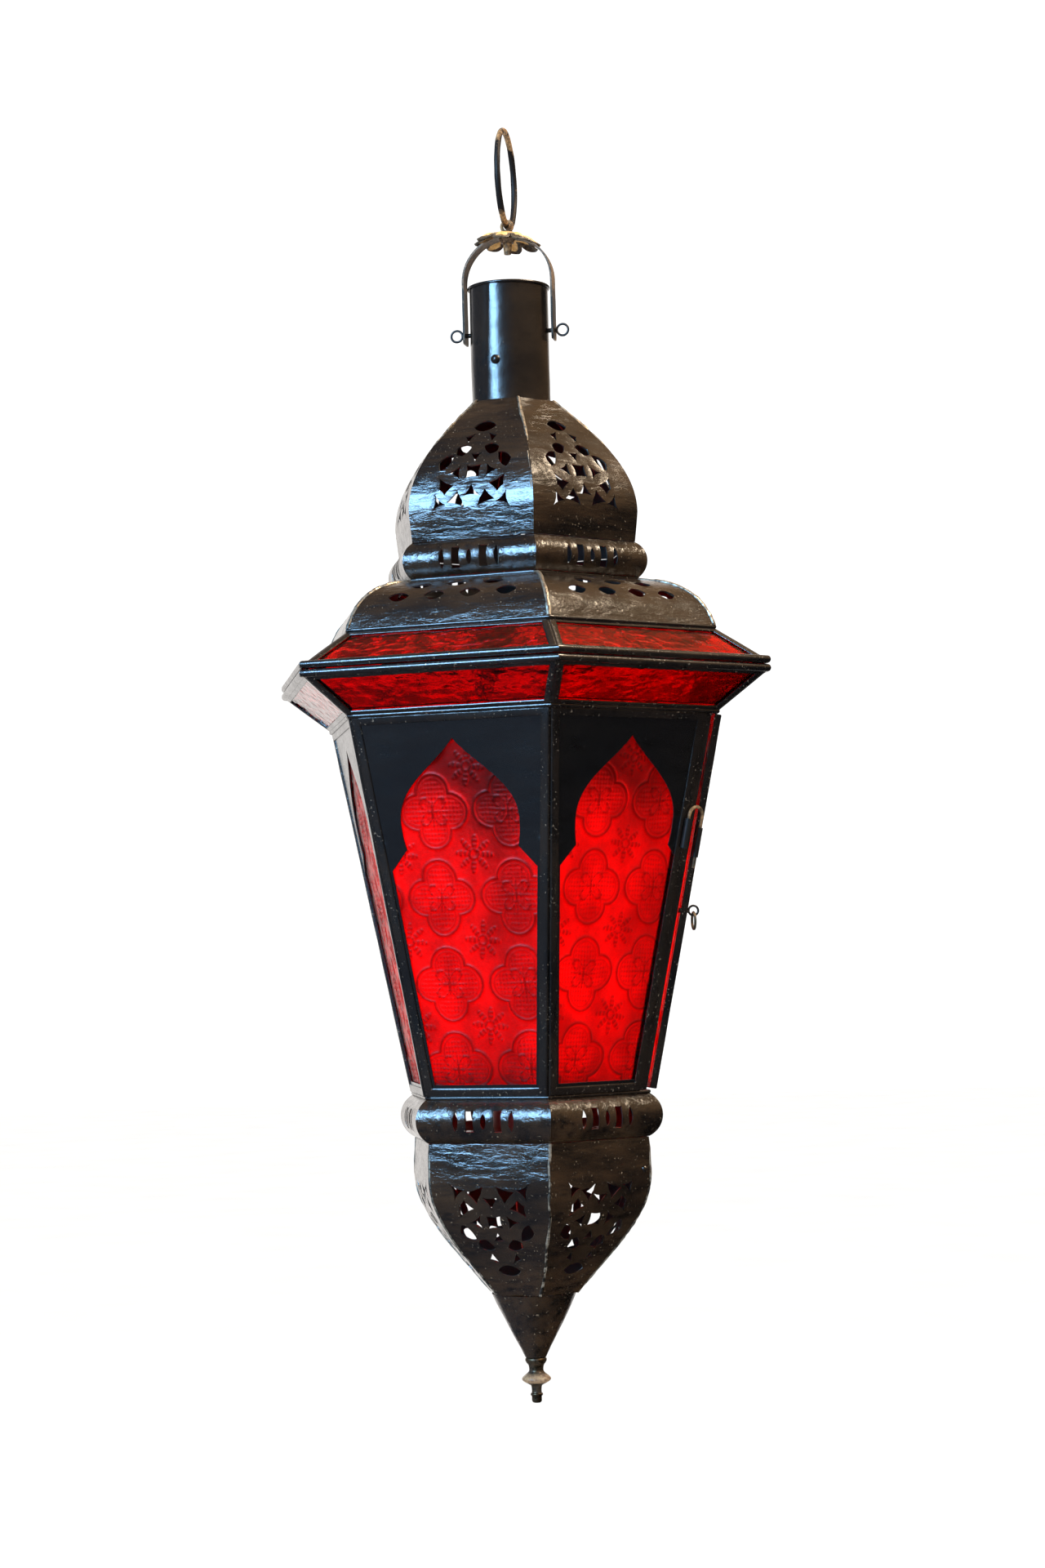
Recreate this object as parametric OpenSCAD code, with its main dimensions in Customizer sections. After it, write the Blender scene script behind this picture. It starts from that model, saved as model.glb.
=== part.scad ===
// Hexagonal tin-and-glass candle lantern, hanging from a ring.
// Origin: inside top of the hanging ring, where a hook carries it. +Z is up, the door faces +X.
// Every level is a distance below the origin, so z values are negative.

/* [Hanger] */
// Inside radius of the hanging ring
ring_inner_r = 24.8; // [20:0.2:30]
// Thickness of the ring's round bar
ring_wire = 3.6; // [2.8:0.2:4]
// Diameter of the petalled rosette under the ring
rosette_d = 38.5; // [30:0.5:44]
// Width of the bail strap
strap_w = 10; // [8:0.5:12]
// Thickness of the bail strap
strap_t = 1.2; // [0.8:0.1:1.6]
// Outside half width of the bail
bail_half = 25.8; // [25.4:0.1:28]
// Level of the bail's pivots
pivot_drop = 111.2; // [106:0.2:116]

/* [Chimney] */
// Outside radius of the chimney tube
tube_r = 22.2; // [21:0.1:22.6]
// Level of the tube's top
tube_top_drop = 85.6; // [84:0.2:90]
// Height of the tube
tube_h = 65.7; // [60:0.1:70]

/* [Crown] */
// Height of the perforated dome
dome_h = 81.4; // [70:0.2:90]
// Corner radius of the dome at its widest
dome_r = 72.3; // [66:0.1:74]
// Height of the upper collar
upper_collar_h = 20.8; // [18:0.2:24]
// Height of the curved shoulder
shoulder_h = 27.6; // [24:0.2:30]
// Corner radius at the bottom of the shoulder
shoulder_r = 115; // [110:0.5:118]
// Height of the upper band of panes
upper_band_h = 19.9; // [16:0.1:24]
// Height of the double rim
rim_h = 5; // [4.6:0.1:6]
// Corner radius at the rim, the widest point
rim_r = 146; // [138:0.5:150]
// Height of the lower band of panes
lower_band_h = 21.7; // [18:0.1:24]

/* [Glazed body] */
// Height of the glazed sides
side_h = 202.5; // [190:0.5:215]
// Corner radius at the top of the sides
side_top_r = 115; // [110:0.5:118]
// Corner radius at the bottom of the sides
side_bottom_r = 71.4; // [69:0.1:75]
// Width of the channels that hold the panes
channel_w = 5; // [4:0.1:6]
// Depth of the channels
channel_d = 4.5; // [4.2:0.1:5]
// Gap left between neighbouring channels at a corner
corner_gap = 2; // [1:0.1:2.6]
// How far the channel beside the door stands back from the corner
door_post_inset = 8; // [6:0.1:9]
// How far the door stands proud of the sides
door_proud = 2.5; // [2:0.1:3]
// Thickness of the panes
glass_t = 2; // [1.6:0.1:2.2]

/* [Foot] */
// Height of the lower collar
lower_collar_h = 24.4; // [22:0.2:26]
// Height of the perforated bowl
bowl_h = 84; // [76:0.5:90]
// Corner radius of the bowl at its widest
bowl_r = 69.9; // [66:0.1:72]
// Height of the plain cone
cone_h = 35.3; // [30:0.1:40]
// Height of the turned finial
finial_h = 24.7; // [20:0.1:28]

/* [Sheet] */
// Thickness of the tin sheet
sheet = 0.8; // [0.6:0.1:1]

/* [Candle] */
// Radius of the candle
candle_r = 19; // [17:0.5:20]
// Height of the candle
candle_h = 14; // [12:0.5:16]

/* [Hidden] */
$fn = 48;
FACES = 6;
FACE_ANGLE = 360 / FACES;
HALF = tan(FACE_ANGLE / 2);
APOTHEM = cos(FACE_ANGLE / 2);
far = 400;
seam = 0.1;

// Levels, from the top down
ring_centre_z = -ring_inner_r;
ring_bar_z = ring_centre_z - ring_inner_r - ring_wire / 2;
pivot_z = -pivot_drop;
tube_top_z = -tube_top_drop;
dome_top_z = tube_top_z - tube_h - seam;
dome_bottom_z = dome_top_z - dome_h;
collar1_bottom_z = dome_bottom_z - upper_collar_h;
shoulder_bottom_z = collar1_bottom_z - shoulder_h;
rim_top_z = shoulder_bottom_z - upper_band_h;
rim_bottom_z = rim_top_z - rim_h;
side_top_z = rim_bottom_z - lower_band_h;
side_bottom_z = side_top_z - side_h;
collar2_bottom_z = side_bottom_z - lower_collar_h;
bowl_bottom_z = collar2_bottom_z - bowl_h;
cone_bottom_z = bowl_bottom_z - cone_h;
finial_bottom_z = cone_bottom_z - finial_h;

// Glazed sides, as planes leaning outwards
side_top_a = side_top_r * APOTHEM;
side_bottom_a = side_bottom_r * APOTHEM;
side_len = norm([side_top_a - side_bottom_a, side_h]);
side_tilt = atan2(side_top_a - side_bottom_a, side_h);
edge_len = norm([side_top_r - side_bottom_r, side_h]);
edge_tilt = atan2(side_top_r - side_bottom_r, side_h);
side_end_gap = 0.4;
door_end_gap = 1.4;
glass_front = 1.8;
arch_front = 0.9;
lip = 0.8;
pane_inset = 4.4;

// Eye, rosette and bail stack
eye_wire_r = 0.9;
eye_inner_r = ring_wire / 2 + 0.25;
eye_r = eye_inner_r + eye_wire_r;
eye_bottom_z = ring_bar_z - eye_r - eye_wire_r;
shank_r = 1.5;
rosette_t = 1;
rosette_z = eye_bottom_z - 0.2;
strap_top_z = rosette_z - rosette_t - 0.2;
washer_z = strap_top_z - strap_t - 0.65;
washer_h = 2.4;
peen_z = washer_z - washer_h - 0.2;
running = 0.08;
ring_azimuth = 72;
bail_azimuth = -20;

// Bail pivots
pivot_r = 1.3;
bail_loop_r = 3.2;
bail_loop_wire_r = 0.65;

// Door hinge, latch and pull
hinge_azimuth = 30;
free_azimuth = -30;
hinge_q = 1.4;
hinge_stations = [35, 172];
knuckle_r = 1.5;
hinge_pin_r = 0.8;
latch_s = 132;
latch_pin_r = 0.9;
latch_leg_a = [-2.93, -9.28];
latch_leg_b = [1.29, -0.64];
pull_z = -434;
pull_eye_r = 2.6;
pull_eye_wire_r = 0.6;
pull_ring_r = 4.5;
pull_ring_wire_r = 0.7;

// ---- Shared geometry ----

// A point on a cubic curve through p[0] and p[3]
function curve_point(p, t) =
  pow(1 - t, 3) * p[0] + 3 * t * pow(1 - t, 2) * p[1] + 3 * t * t * (1 - t) * p[2] + pow(t, 3) * p[3];
function curve(p, steps) = [for (i = [0 : steps]) curve_point(p, i / steps)];

// The outline of a sheet whose outer face follows pts, going down
function unit(v) = v / norm(v);
function inward(d) = [d[1], -d[0]];
function tangent(pts, i) =
  unit(pts[min(i + 1, len(pts) - 1)] - pts[max(i - 1, 0)]);
function inner_face(pts, t) = [for (i = [len(pts) - 1 : -1 : 0]) pts[i] + inward(tangent(pts, i)) * t];
function sheet_outline(pts) = concat(pts, inner_face(pts, sheet));

// Corner radii to distances square to a face
function flat(pts) = [for (p = pts) [p[0] * APOTHEM, p[1]]];

dome_curve = flat(concat(
  curve([[25, dome_top_z], [44, dome_top_z - 16.5], [dome_r + 0.2, dome_top_z - 38.5],
    [dome_r, dome_top_z - 65.2]], 14),
  [[dome_r - 1.9, dome_bottom_z + seam]]));
bowl_curve = flat(concat(
  [[bowl_r - 2.6, collar2_bottom_z - seam]],
  curve([[bowl_r, collar2_bottom_z - 18], [bowl_r + 0.1, collar2_bottom_z - 42],
    [47, collar2_bottom_z - 60], [26, bowl_bottom_z]], 14)));
shoulder_curve = flat(
  curve([[72.5, collar1_bottom_z - seam], [92, collar1_bottom_z - 1.6], [108, collar1_bottom_z - 8],
    [shoulder_r, shoulder_bottom_z]], 12));

// Turn to a face: 1 is the door's side, and they go anticlockwise seen from above
module at_face(k) rotate([0, 0, (k - 1) * FACE_ANGLE]) children();

// The sixth of the plan that belongs to a face, less half a gap on each side
module wedge(gap) {
  back = gap / 2 / sin(FACE_ANGLE / 2);
  translate([0, 0, -800])
    linear_extrude(1000)
      polygon([[back, 0], [far, (far - back) * HALF], [far, -(far - back) * HALF]]);
}

// A sheet bent to an outline in the (outwards, up) plane, mitred at both corners
module bent_sheet(outline, gap = seam) {
  intersection() {
    rotate([90, 0, 0])
      linear_extrude(2 * far * HALF, center = true)
        polygon(outline);
    wedge(gap);
  }
}

// Lay a flat drawing on a leaning face: its x runs along the face and its y goes up the slope
module on_slope(bottom_a, bottom_z, tilt)
  translate([bottom_a, 0, bottom_z])
    rotate([0, tilt, 0])
      rotate([90, 0, 90])
        children();

// A trapezoid with margins left, right, bottom and top
module trapezoid(bottom_a, top_a, length, left, right, bottom, top) {
  grow = (top_a - bottom_a) * HALF / length;
  lo = bottom_a * HALF + grow * bottom;
  hi = top_a * HALF - grow * top;
  polygon([[-lo + left, bottom], [lo - right, bottom], [hi - right, length - top],
    [-hi + left, length - top]]);
}

// A pointed eye shape lying along x
module lens(w, h) {
  r = (w * w / 4 + h * h / 4) / h;
  intersection() {
    translate([0, r - h / 2]) circle(r);
    translate([0, h / 2 - r]) circle(r);
  }
}

// A triangle with one point at the top
module tri(w, h) polygon([[-w / 2, -h / 2], [w / 2, -h / 2], [0, h / 2]]);

// The lantern's pierced pattern on one petal: x across, y away from the big eye, in the order
// eye, barbs, drops, bead, leaves, square row, triangles and the wide last row
module piercings() {
  lens(11.6, 6);
  translate([0, 19]) tri(5.6, 4);
  translate([0, 27.2]) square([7, 6.2], center = true);
  translate([0, 37.6]) mirror([0, 1]) tri(7.8, 6);
  for (side = [-1, 1]) scale([side, 1]) {
    translate([5.6, 6.8]) rotate(25) tri(5, 3.8);
    translate([8.2, 14.4]) rotate(18) lens(8.4, 5.4);
    translate([16.6, 21.2]) rotate(38) lens(9.6, 6);
    translate([10.4, 27.2]) rotate(-90) tri(6.6, 5.8);
    polygon([[18.8, 30.6], [11.2, 34.6], [15.6, 38.8]]);
    polygon([[7.8, 38.4], [13.2, 43.6], [4.4, 46]]);
    polygon([[20.4, 39.8], [22.4, 47.6], [15.6, 44.8]]);
  }
}

// Cut the pattern straight inwards through a petal, growing down (dir -1) or up (dir 1)
module pierce(z, dir)
  translate([10, 0, z])
    rotate([90, 0, 90])
      linear_extrude(80)
        scale([1, dir])
          piercings();

module dome_petal(k)
  color([0.09, 0.09, 0.1])
    at_face(k)
      difference() {
        bent_sheet(sheet_outline(dome_curve));
        pierce(dome_top_z - 16.8, -1);
      }

module bowl_petal(k)
  color([0.08, 0.08, 0.09])
    at_face(k)
      difference() {
        bent_sheet(sheet_outline(bowl_curve));
        pierce(bowl_bottom_z + 14.8, 1);
        if (k == 6) corner_rivet_hole();
      }

// A round rivet near a corner of the bowl, on the face before the door's
rivet_u = 30;
rivet_z = collar2_bottom_z - 17;
module corner_rivet_hole()
  translate([bowl_r * APOTHEM, rivet_u, rivet_z])
    rotate([0, 90, 0])
      cylinder(r = 0.9, h = 8, center = true);

// Half-round moulding around the waist, in six mitred strips with slots
slot_pitch = 8;
module collar_slots(a, z) {
  for (i = [-2 : 2])
    translate([a - 14, i * slot_pitch, z])
      rotate([90, 0, 90])
        linear_extrude(30)
          if (abs(i) == 1) square([4.6, 11], center = true);
          else rotate(90) lens(i == 0 ? 8.5 : 11, 3.2);
}
module collar_strip(a, z, radius, height) {
  difference() {
    bent_sheet_ring(a, z, radius, height);
    collar_slots(a, z);
  }
}
module bent_sheet_ring(a, z, radius, height)
  intersection() {
    rotate([90, 0, 0])
      linear_extrude(2 * far * HALF, center = true)
        intersection() {
          translate([a - radius, z])
            difference() {
              circle(radius);
              circle(radius - sheet);
            }
          translate([a - radius / 2, z]) square([radius * 1.4, height], center = true);
        }
    wedge(seam);
  }

// A frame of channel on a leaning face, grooved for its pane
module channel_frame(bottom_a, top_a, length, left, right, bottom, top, groove) {
  difference() {
    translate([0, 0, -channel_d])
      linear_extrude(channel_d)
        difference() {
          trapezoid(bottom_a, top_a, length, left, right, bottom, top);
          trapezoid(bottom_a, top_a, length, left + channel_w, right + channel_w,
            bottom + channel_w, top + channel_w);
        }
    translate([0, 0, -channel_d + 0.5])
      linear_extrude(channel_d - 0.5 - lip)
        trapezoid(bottom_a, top_a, length, left + groove, right + groove,
          bottom + groove, top + groove);
  }
}

// ---- Hanger ----

module hanging_ring()
  color([0.24, 0.19, 0.15])
    translate([0, 0, ring_centre_z])
      rotate([0, 0, ring_azimuth])
        rotate([90, 0, 0])
          rotate_extrude()
            translate([ring_inner_r + ring_wire / 2, 0])
              circle(ring_wire / 2);

// Eye around the ring's bar, with a shank down through the rosette and bail and a peened end
module swivel_eye()
  color([0.3, 0.23, 0.15]) {
    difference() {
      union() {
        translate([0, 0, ring_bar_z])
          rotate([0, 0, ring_azimuth - 90])
            rotate([90, 0, 0])
              rotate_extrude()
                translate([eye_r, 0])
                  circle(eye_wire_r);
        translate([0, 0, peen_z - 1])
          cylinder(r = shank_r, h = eye_bottom_z + 1.4 - peen_z + 1);
        translate([0, 0, peen_z - 6])
          cylinder(r1 = 1.9, r2 = 2.6, h = 6);
      }
      translate([0, 0, ring_bar_z])
        rotate([0, 0, ring_azimuth])
          rotate([0, 90, 0])
            cylinder(r = eye_inner_r, h = 20, center = true);
    }
  }

// Eight drooping petals around a flat centre
petals = 8;
droop = 7.5;
module rosette()
  color([0.5, 0.38, 0.16])
    difference() {
      intersection() {
        translate([0, 0, rosette_z])
          rotate_extrude()
            polygon([[0, 0], [5.5, 0], [12, -0.3 * droop], [rosette_d / 2, -droop],
              [rosette_d / 2, -droop - rosette_t], [12, -0.3 * droop - rosette_t],
              [5.5, -rosette_t], [0, -rosette_t]]);
        translate([0, 0, rosette_z - 20])
          linear_extrude(40)
            for (i = [0 : petals - 1])
              rotate((i + 0.5) * 360 / petals)
                translate([10, 0])
                  lens(2 * (rosette_d / 2 - 10), 12.2);
      }
      translate([0, 0, rosette_z - 10])
        cylinder(r = shank_r + running, h = 20);
    }

module rosette_washer()
  color([0.2, 0.17, 0.14])
    translate([0, 0, washer_z - washer_h])
      difference() {
        cylinder(r1 = 3.4, r2 = 4.6, h = washer_h);
        translate([0, 0, -1]) cylinder(r = shank_r + running, h = washer_h + 2);
      }

// Arched strap whose ends hang on the pivots
module bail_strap() {
  r_out = bail_half;
  arch_z = strap_top_z - r_out;
  end_z = pivot_z - 5.3;
  color([0.17, 0.14, 0.12])
    rotate([0, 0, bail_azimuth])
      difference() {
        rotate([90, 0, 0])
          linear_extrude(strap_w, center = true)
            difference() {
              union() {
                translate([0, arch_z]) circle(r_out);
                translate([-r_out, end_z]) square([2 * r_out, arch_z - end_z]);
              }
              union() {
                translate([0, arch_z]) circle(r_out - strap_t);
                translate([strap_t - r_out, end_z - 1])
                  square([2 * (r_out - strap_t), arch_z - end_z + 1]);
              }
            }
        translate([0, 0, strap_top_z - 5]) cylinder(r = shank_r + running, h = 10);
        translate([0, 0, pivot_z])
          rotate([0, 90, 0])
            cylinder(r = pivot_r + running, h = 80, center = true);
      }
}

// Wire loop outside the strap, with its shank through the strap and the tube's wall
module bail_eye(side)
  color([0.13, 0.12, 0.12])
    rotate([0, 0, bail_azimuth])
      scale([side, 1, 1])
        translate([0, 0, pivot_z]) {
          translate([tube_r - sheet - 1.2, 0, 0])
            rotate([0, 90, 0])
              cylinder(r = pivot_r, h = bail_half + 1.4 - tube_r + sheet + 1.2);
          translate([tube_r - sheet - 1.6, 0, 0])
            rotate([0, 90, 0])
              cylinder(r = 2.6, h = 1);
          translate([bail_half + 0.3 + bail_loop_r + bail_loop_wire_r, 0, 0])
            rotate([90, 0, 0])
              rotate_extrude()
                translate([bail_loop_r, 0])
                  circle(bail_loop_wire_r);
        }
module bail_eye_left() bail_eye(-1);
module bail_eye_right() bail_eye(1);

// ---- Chimney ----

module chimney_tube()
  color([0.08, 0.09, 0.11])
    difference() {
      union() {
        translate([0, 0, tube_top_z - tube_h]) cylinder(r = tube_r, h = tube_h);
        translate([0, 0, tube_top_z - 0.9])
          rotate_extrude()
            translate([tube_r - 0.1, 0])
              circle(0.9);
      }
      translate([0, 0, tube_top_z - tube_h - 1]) cylinder(r = tube_r - sheet, h = tube_h + 2);
      translate([0, 0, pivot_z])
        rotate([0, 90, bail_azimuth])
          cylinder(r = pivot_r + 0.05, h = 80, center = true);
      tube_rivet_place() cylinder(r = 1.25, h = 8, center = true);
    }

module tube_rivet_place()
  rotate([0, 0, -120])
    translate([tube_r, 0, tube_top_z - 43.9])
      rotate([0, 90, 0])
        children();

// A round-headed rivet whose head sits on z = 0
module rivet(head_r, head_h, shank, through) {
  ball = (head_r * head_r + head_h * head_h) / (2 * head_h);
  intersection() {
    translate([0, 0, head_h - ball]) sphere(ball);
    translate([0, 0, 0.1]) cylinder(r = head_r + 1, h = head_h + 1);
  }
  translate([0, 0, -through]) cylinder(r = shank, h = through + 0.5);
  translate([0, 0, -through - 0.6]) cylinder(r = shank * 1.6, h = 0.6);
}

module sheet_rivets()
  color([0.12, 0.12, 0.13]) {
    tube_rivet_place() rivet(2.7, 1.6, 1.2, 1.1);
    at_face(6)
      translate([bowl_r * APOTHEM, rivet_u, rivet_z])
        rotate([0, 90, 0])
          rivet(1.8, 1.3, 0.8, 1.4);
  }

// ---- Crown ----

module dome_petal_1() dome_petal(1);
module dome_petal_2() dome_petal(2);
module dome_petal_3() dome_petal(3);
module dome_petal_4() dome_petal(4);
module dome_petal_5() dome_petal(5);
module dome_petal_6() dome_petal(6);

module upper_collar()
  color([0.09, 0.1, 0.12])
    for (k = [1 : FACES])
      at_face(k)
        collar_strip(66.9, dome_bottom_z - upper_collar_h / 2, 11.7, upper_collar_h - 2 * seam);

// Pointed eyes in three staggered rows
module shoulder_holes()
  for (row = [0 : 2], i = [0 : row + 1])
    translate([75.5 + 7.5 * row, (i - (row + 1) / 2) * 20.5, shoulder_bottom_z])
      linear_extrude(60)
        rotate(90)
          lens(12, 5);

module shoulder_panels()
  color([0.1, 0.1, 0.11])
    for (k = [1 : FACES])
      at_face(k)
        difference() {
          bent_sheet(sheet_outline(shoulder_curve));
          shoulder_holes();
        }

// The two bands of panes that meet at the rim
rim_bead_r = 2.2;
rim_a = rim_r * APOTHEM;
band_in = 0.6;
band_d = 3.4;
upper_top_a = shoulder_r * APOTHEM - 0.6;
upper_run = rim_a - rim_bead_r - upper_top_a;
upper_tilt = atan2(-upper_run, upper_band_h - 1.2);
upper_len = norm([upper_run, upper_band_h - 1.2]);
lower_run = rim_a - rim_bead_r - side_top_a;
lower_tilt = atan2(lower_run, lower_band_h - 1.2);
lower_len = norm([lower_run, lower_band_h - 1.2]);

module on_upper_band() on_slope(rim_a - rim_bead_r, rim_top_z, upper_tilt) children();
module on_lower_band() on_slope(side_top_a, side_top_z, lower_tilt) children();

module band_frame_flat(bottom_a, top_a, length)
  translate([0, 0, -band_d])
    linear_extrude(band_d)
      difference() {
        trapezoid(bottom_a, top_a, length, 0, 0, band_in, band_in);
        trapezoid(bottom_a, top_a, length, channel_w, channel_w, channel_w, channel_w);
      }
module band_groove(bottom_a, top_a, length)
  translate([0, 0, -2.7])
    linear_extrude(2.1)
      trapezoid(bottom_a, top_a, length, 3, 3, 3, 3);
module band_pane(bottom_a, top_a, length)
  translate([0, 0, -2.6])
    linear_extrude(1.9)
      trapezoid(bottom_a, top_a, length, 3.3, 3.3, 3.3, 3.3);

module rim_bead(z)
  translate([rim_a - rim_bead_r, 0, z])
    rotate([90, 0, 0])
      cylinder(r = rim_bead_r, h = 2 * rim_a, center = true);

module upper_band_frame()
  color([0.1, 0.1, 0.1])
    for (k = [1 : FACES])
      at_face(k)
        intersection() {
          difference() {
            union() {
              on_upper_band() band_frame_flat(rim_a - rim_bead_r, upper_top_a, upper_len);
              rim_bead(rim_top_z - 0.2);
            }
            on_upper_band() band_groove(rim_a - rim_bead_r, upper_top_a, upper_len);
          }
          wedge(seam);
        }

module upper_band_glass()
  color([0.8, 0.02, 0.02, 0.6])
    for (k = [1 : FACES])
      at_face(k)
        on_upper_band() band_pane(rim_a - rim_bead_r, upper_top_a, upper_len);

module lower_band_frame()
  color([0.1, 0.1, 0.1])
    for (k = [1 : FACES])
      at_face(k)
        intersection() {
          difference() {
            union() {
              on_lower_band() band_frame_flat(side_top_a, rim_a - rim_bead_r, lower_len);
              rim_bead(rim_bottom_z + 0.2);
            }
            on_lower_band() band_groove(side_top_a, rim_a - rim_bead_r, lower_len);
          }
          wedge(seam);
        }

module lower_band_glass()
  color([0.6, 0.02, 0.02, 0.6])
    for (k = [1 : FACES])
      at_face(k)
        on_lower_band() band_pane(side_top_a, rim_a - rim_bead_r, lower_len);

// ---- Glazed sides ----

module on_side() on_slope(side_bottom_a, side_bottom_z, side_tilt) children();

// The posts beside the door stand back from its two corners
function left_inset(k) = k == 2 ? door_post_inset - 2 : corner_gap / 2;
function right_inset(k) = k == 6 ? door_post_inset : corner_gap / 2;
function groove_at(inset) = max(pane_inset - inset, 1);

module side_outline(left, right, bottom, top)
  trapezoid(side_bottom_a, side_top_a, side_len, left, right, bottom, top);

// Frame on face k, mitred against its neighbours
module side_frame(k)
  color([0.1, 0.1, 0.1])
    at_face(k)
      intersection() {
        on_side()
          difference() {
            translate([0, 0, -channel_d])
              linear_extrude(channel_d)
                difference() {
                  side_outline(left_inset(k), right_inset(k), side_end_gap, side_end_gap);
                  side_outline(left_inset(k) + channel_w, right_inset(k) + channel_w,
                    channel_w, channel_w);
                }
            translate([0, 0, -channel_d + 0.5])
              linear_extrude(channel_d - 0.5 - lip)
                side_pane_outline(k, 0);
          }
        wedge(corner_gap);
      }

module side_pane_outline(k, margin)
  side_outline(max(pane_inset, left_inset(k) + 1.2) + margin,
    max(pane_inset, right_inset(k) + 1.2) + margin, 1.4 + margin, 1.4 + margin);

module side_glass(k)
  color([0.85, 0.02, 0.02, 0.6])
    at_face(k)
      on_side()
        translate([0, 0, -glass_front - glass_t])
          linear_extrude(glass_t)
            side_pane_outline(k, 0.2);

// Pointed arch: apex, swelling cheeks, a neck and square shoulders over a straight-sided opening
arch_apex_v = side_len - 14.2;
arch_cheek_v = side_len - 58.5;
arch_neck_v = side_len - 72.5;
arch_step_v = side_len - 83.5;
arch_cheek = 33.7;
arch_neck = 31.8;
arch_margin = 7.4;
arch_foot_v = 6.6;
function arch_half(v) = (side_bottom_a + (side_top_a - side_bottom_a) * v / side_len) * HALF;
arch_curve = curve([[0, arch_apex_v], [12, arch_apex_v - 15], [arch_cheek + 0.6, arch_cheek_v + 20],
  [arch_cheek, arch_cheek_v]], 10);
arch_right = concat(arch_curve,
  [[arch_neck, arch_neck_v], [arch_half(arch_step_v) - arch_margin, arch_step_v],
    [arch_half(arch_foot_v) - arch_margin, arch_foot_v]]);
function mirrored(pts) = [for (i = [len(pts) - 1 : -1 : 1]) [-pts[i][0], pts[i][1]]];

module arch_opening() polygon(concat(arch_right, mirrored(arch_right)));

module arch_plate(k)
  on_side()
    translate([0, 0, -arch_front - sheet])
      linear_extrude(sheet)
        difference() {
          side_pane_outline(k, 0.2);
          arch_opening();
        }

module side_arch(k)
  color([0.07, 0.09, 0.11])
    at_face(k)
      arch_plate(k);

module side_frame_1() side_frame(2);
module side_frame_2() side_frame(3);
module side_frame_3() side_frame(4);
module side_frame_4() side_frame(5);
module side_frame_5() side_frame(6);
module side_glass_1() side_glass(2);
module side_glass_2() side_glass(3);
module side_glass_3() side_glass(4);
module side_glass_4() side_glass(5);
module side_glass_5() side_glass(6);
module side_arch_1() side_arch(2);
module side_arch_2() side_arch(3);
module side_arch_3() side_arch(4);
module side_arch_4() side_arch(5);
module side_arch_5() side_arch(6);

// ---- Door ----

door_d = 4;
door_free_inset = 0.5;
door_hinge_inset = 2;
door_groove = 1.2;

module on_door() on_side() translate([0, 0, door_proud]) children();

module door_frame()
  color([0.1, 0.1, 0.1])
    on_door()
      difference() {
        translate([0, 0, -door_d])
          linear_extrude(door_d)
            difference() {
              side_outline(door_free_inset, door_hinge_inset, door_end_gap, door_end_gap);
              side_outline(door_free_inset + channel_w, door_hinge_inset + channel_w,
                door_end_gap + channel_w, door_end_gap + channel_w);
            }
        translate([0, 0, -door_d + 0.4])
          linear_extrude(door_d - 0.4 - 0.6)
            door_pane_outline(0);
        pull_shank(0.05);
      }

module door_pane_outline(margin)
  side_outline(door_free_inset + door_groove + margin, door_hinge_inset + door_groove + margin,
    door_end_gap + door_groove + margin, door_end_gap + door_groove + margin);

module door_glass()
  color([0.85, 0.02, 0.02, 0.6])
    on_door()
      translate([0, 0, -1.5 - 2])
        linear_extrude(2)
          difference() {
            door_pane_outline(0.2);
            pull_notch();
          }

module door_arch()
  color([0.07, 0.09, 0.11])
    on_door()
      translate([0, 0, -0.65 - sheet])
        linear_extrude(sheet)
          difference() {
            door_pane_outline(0.2);
            arch_opening();
            pull_notch();
          }

// Place things on a corner line of the sides, z along the line from the bottom
module on_edge(azimuth, s)
  rotate([0, 0, azimuth])
    translate([side_bottom_r, 0, side_bottom_z])
      rotate([0, edge_tilt, 0])
        translate([0, 0, s])
          children();

// Fixed knuckles and their leaves, soldered to the post beside the door
module hinge_knuckles()
  color([0.14, 0.13, 0.13])
    for (s = hinge_stations, side = [-1, 1])
      on_edge(hinge_azimuth, s + side * 6)
        difference() {
          union() {
            translate([hinge_q, 0, 0]) cylinder(r = knuckle_r, h = 6, center = true);
            rotate([0, 0, 120]) translate([0.2, -0.95, -3]) cube([9, 0.8, 6]);
          }
          translate([hinge_q, 0, 0]) cylinder(r = hinge_pin_r + 0.05, h = 20, center = true);
        }

module hinge_pins()
  color([0.2, 0.18, 0.16])
    for (s = hinge_stations)
      on_edge(hinge_azimuth, s)
        translate([hinge_q, 0, 0]) {
          cylinder(r = hinge_pin_r, h = 20, center = true);
          translate([0, 0, 9.8]) cylinder(r = 1.4, h = 1);
        }

module door_knuckles()
  color([0.14, 0.13, 0.13])
    for (s = hinge_stations)
      on_edge(hinge_azimuth, s)
        difference() {
          union() {
            translate([hinge_q, 0, 0]) cylinder(r = knuckle_r, h = 5.4, center = true);
            rotate([0, 0, -120]) {
              translate([0.3, 0.6, -2.7]) cube([1.3, 2.6, 5.4]);
              translate([0.3, 2.7, -2.7]) cube([8, 0.7, 5.4]);
            }
          }
          translate([hinge_q, 0, 0]) cylinder(r = hinge_pin_r + running, h = 20, center = true);
        }

// Latch: an upside-down U of wire drops into a split tube on the post and a guide on the door
latch_span = norm(latch_leg_b - latch_leg_a);
latch_turn = atan2(latch_leg_b[1] - latch_leg_a[1], latch_leg_b[0] - latch_leg_a[0]);

module latch_tube()
  color([0.16, 0.15, 0.14])
    on_edge(free_azimuth, latch_s)
      translate([latch_leg_a[0], latch_leg_a[1], 0])
        difference() {
          cylinder(r = 2, h = 16);
          translate([0, 0, -1]) cylinder(r = 1.3, h = 18);
          rotate([0, 0, 30 - 4])
            translate([0, -1.3, -1])
              cube([5, 2.6, 18]);
        }

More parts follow.
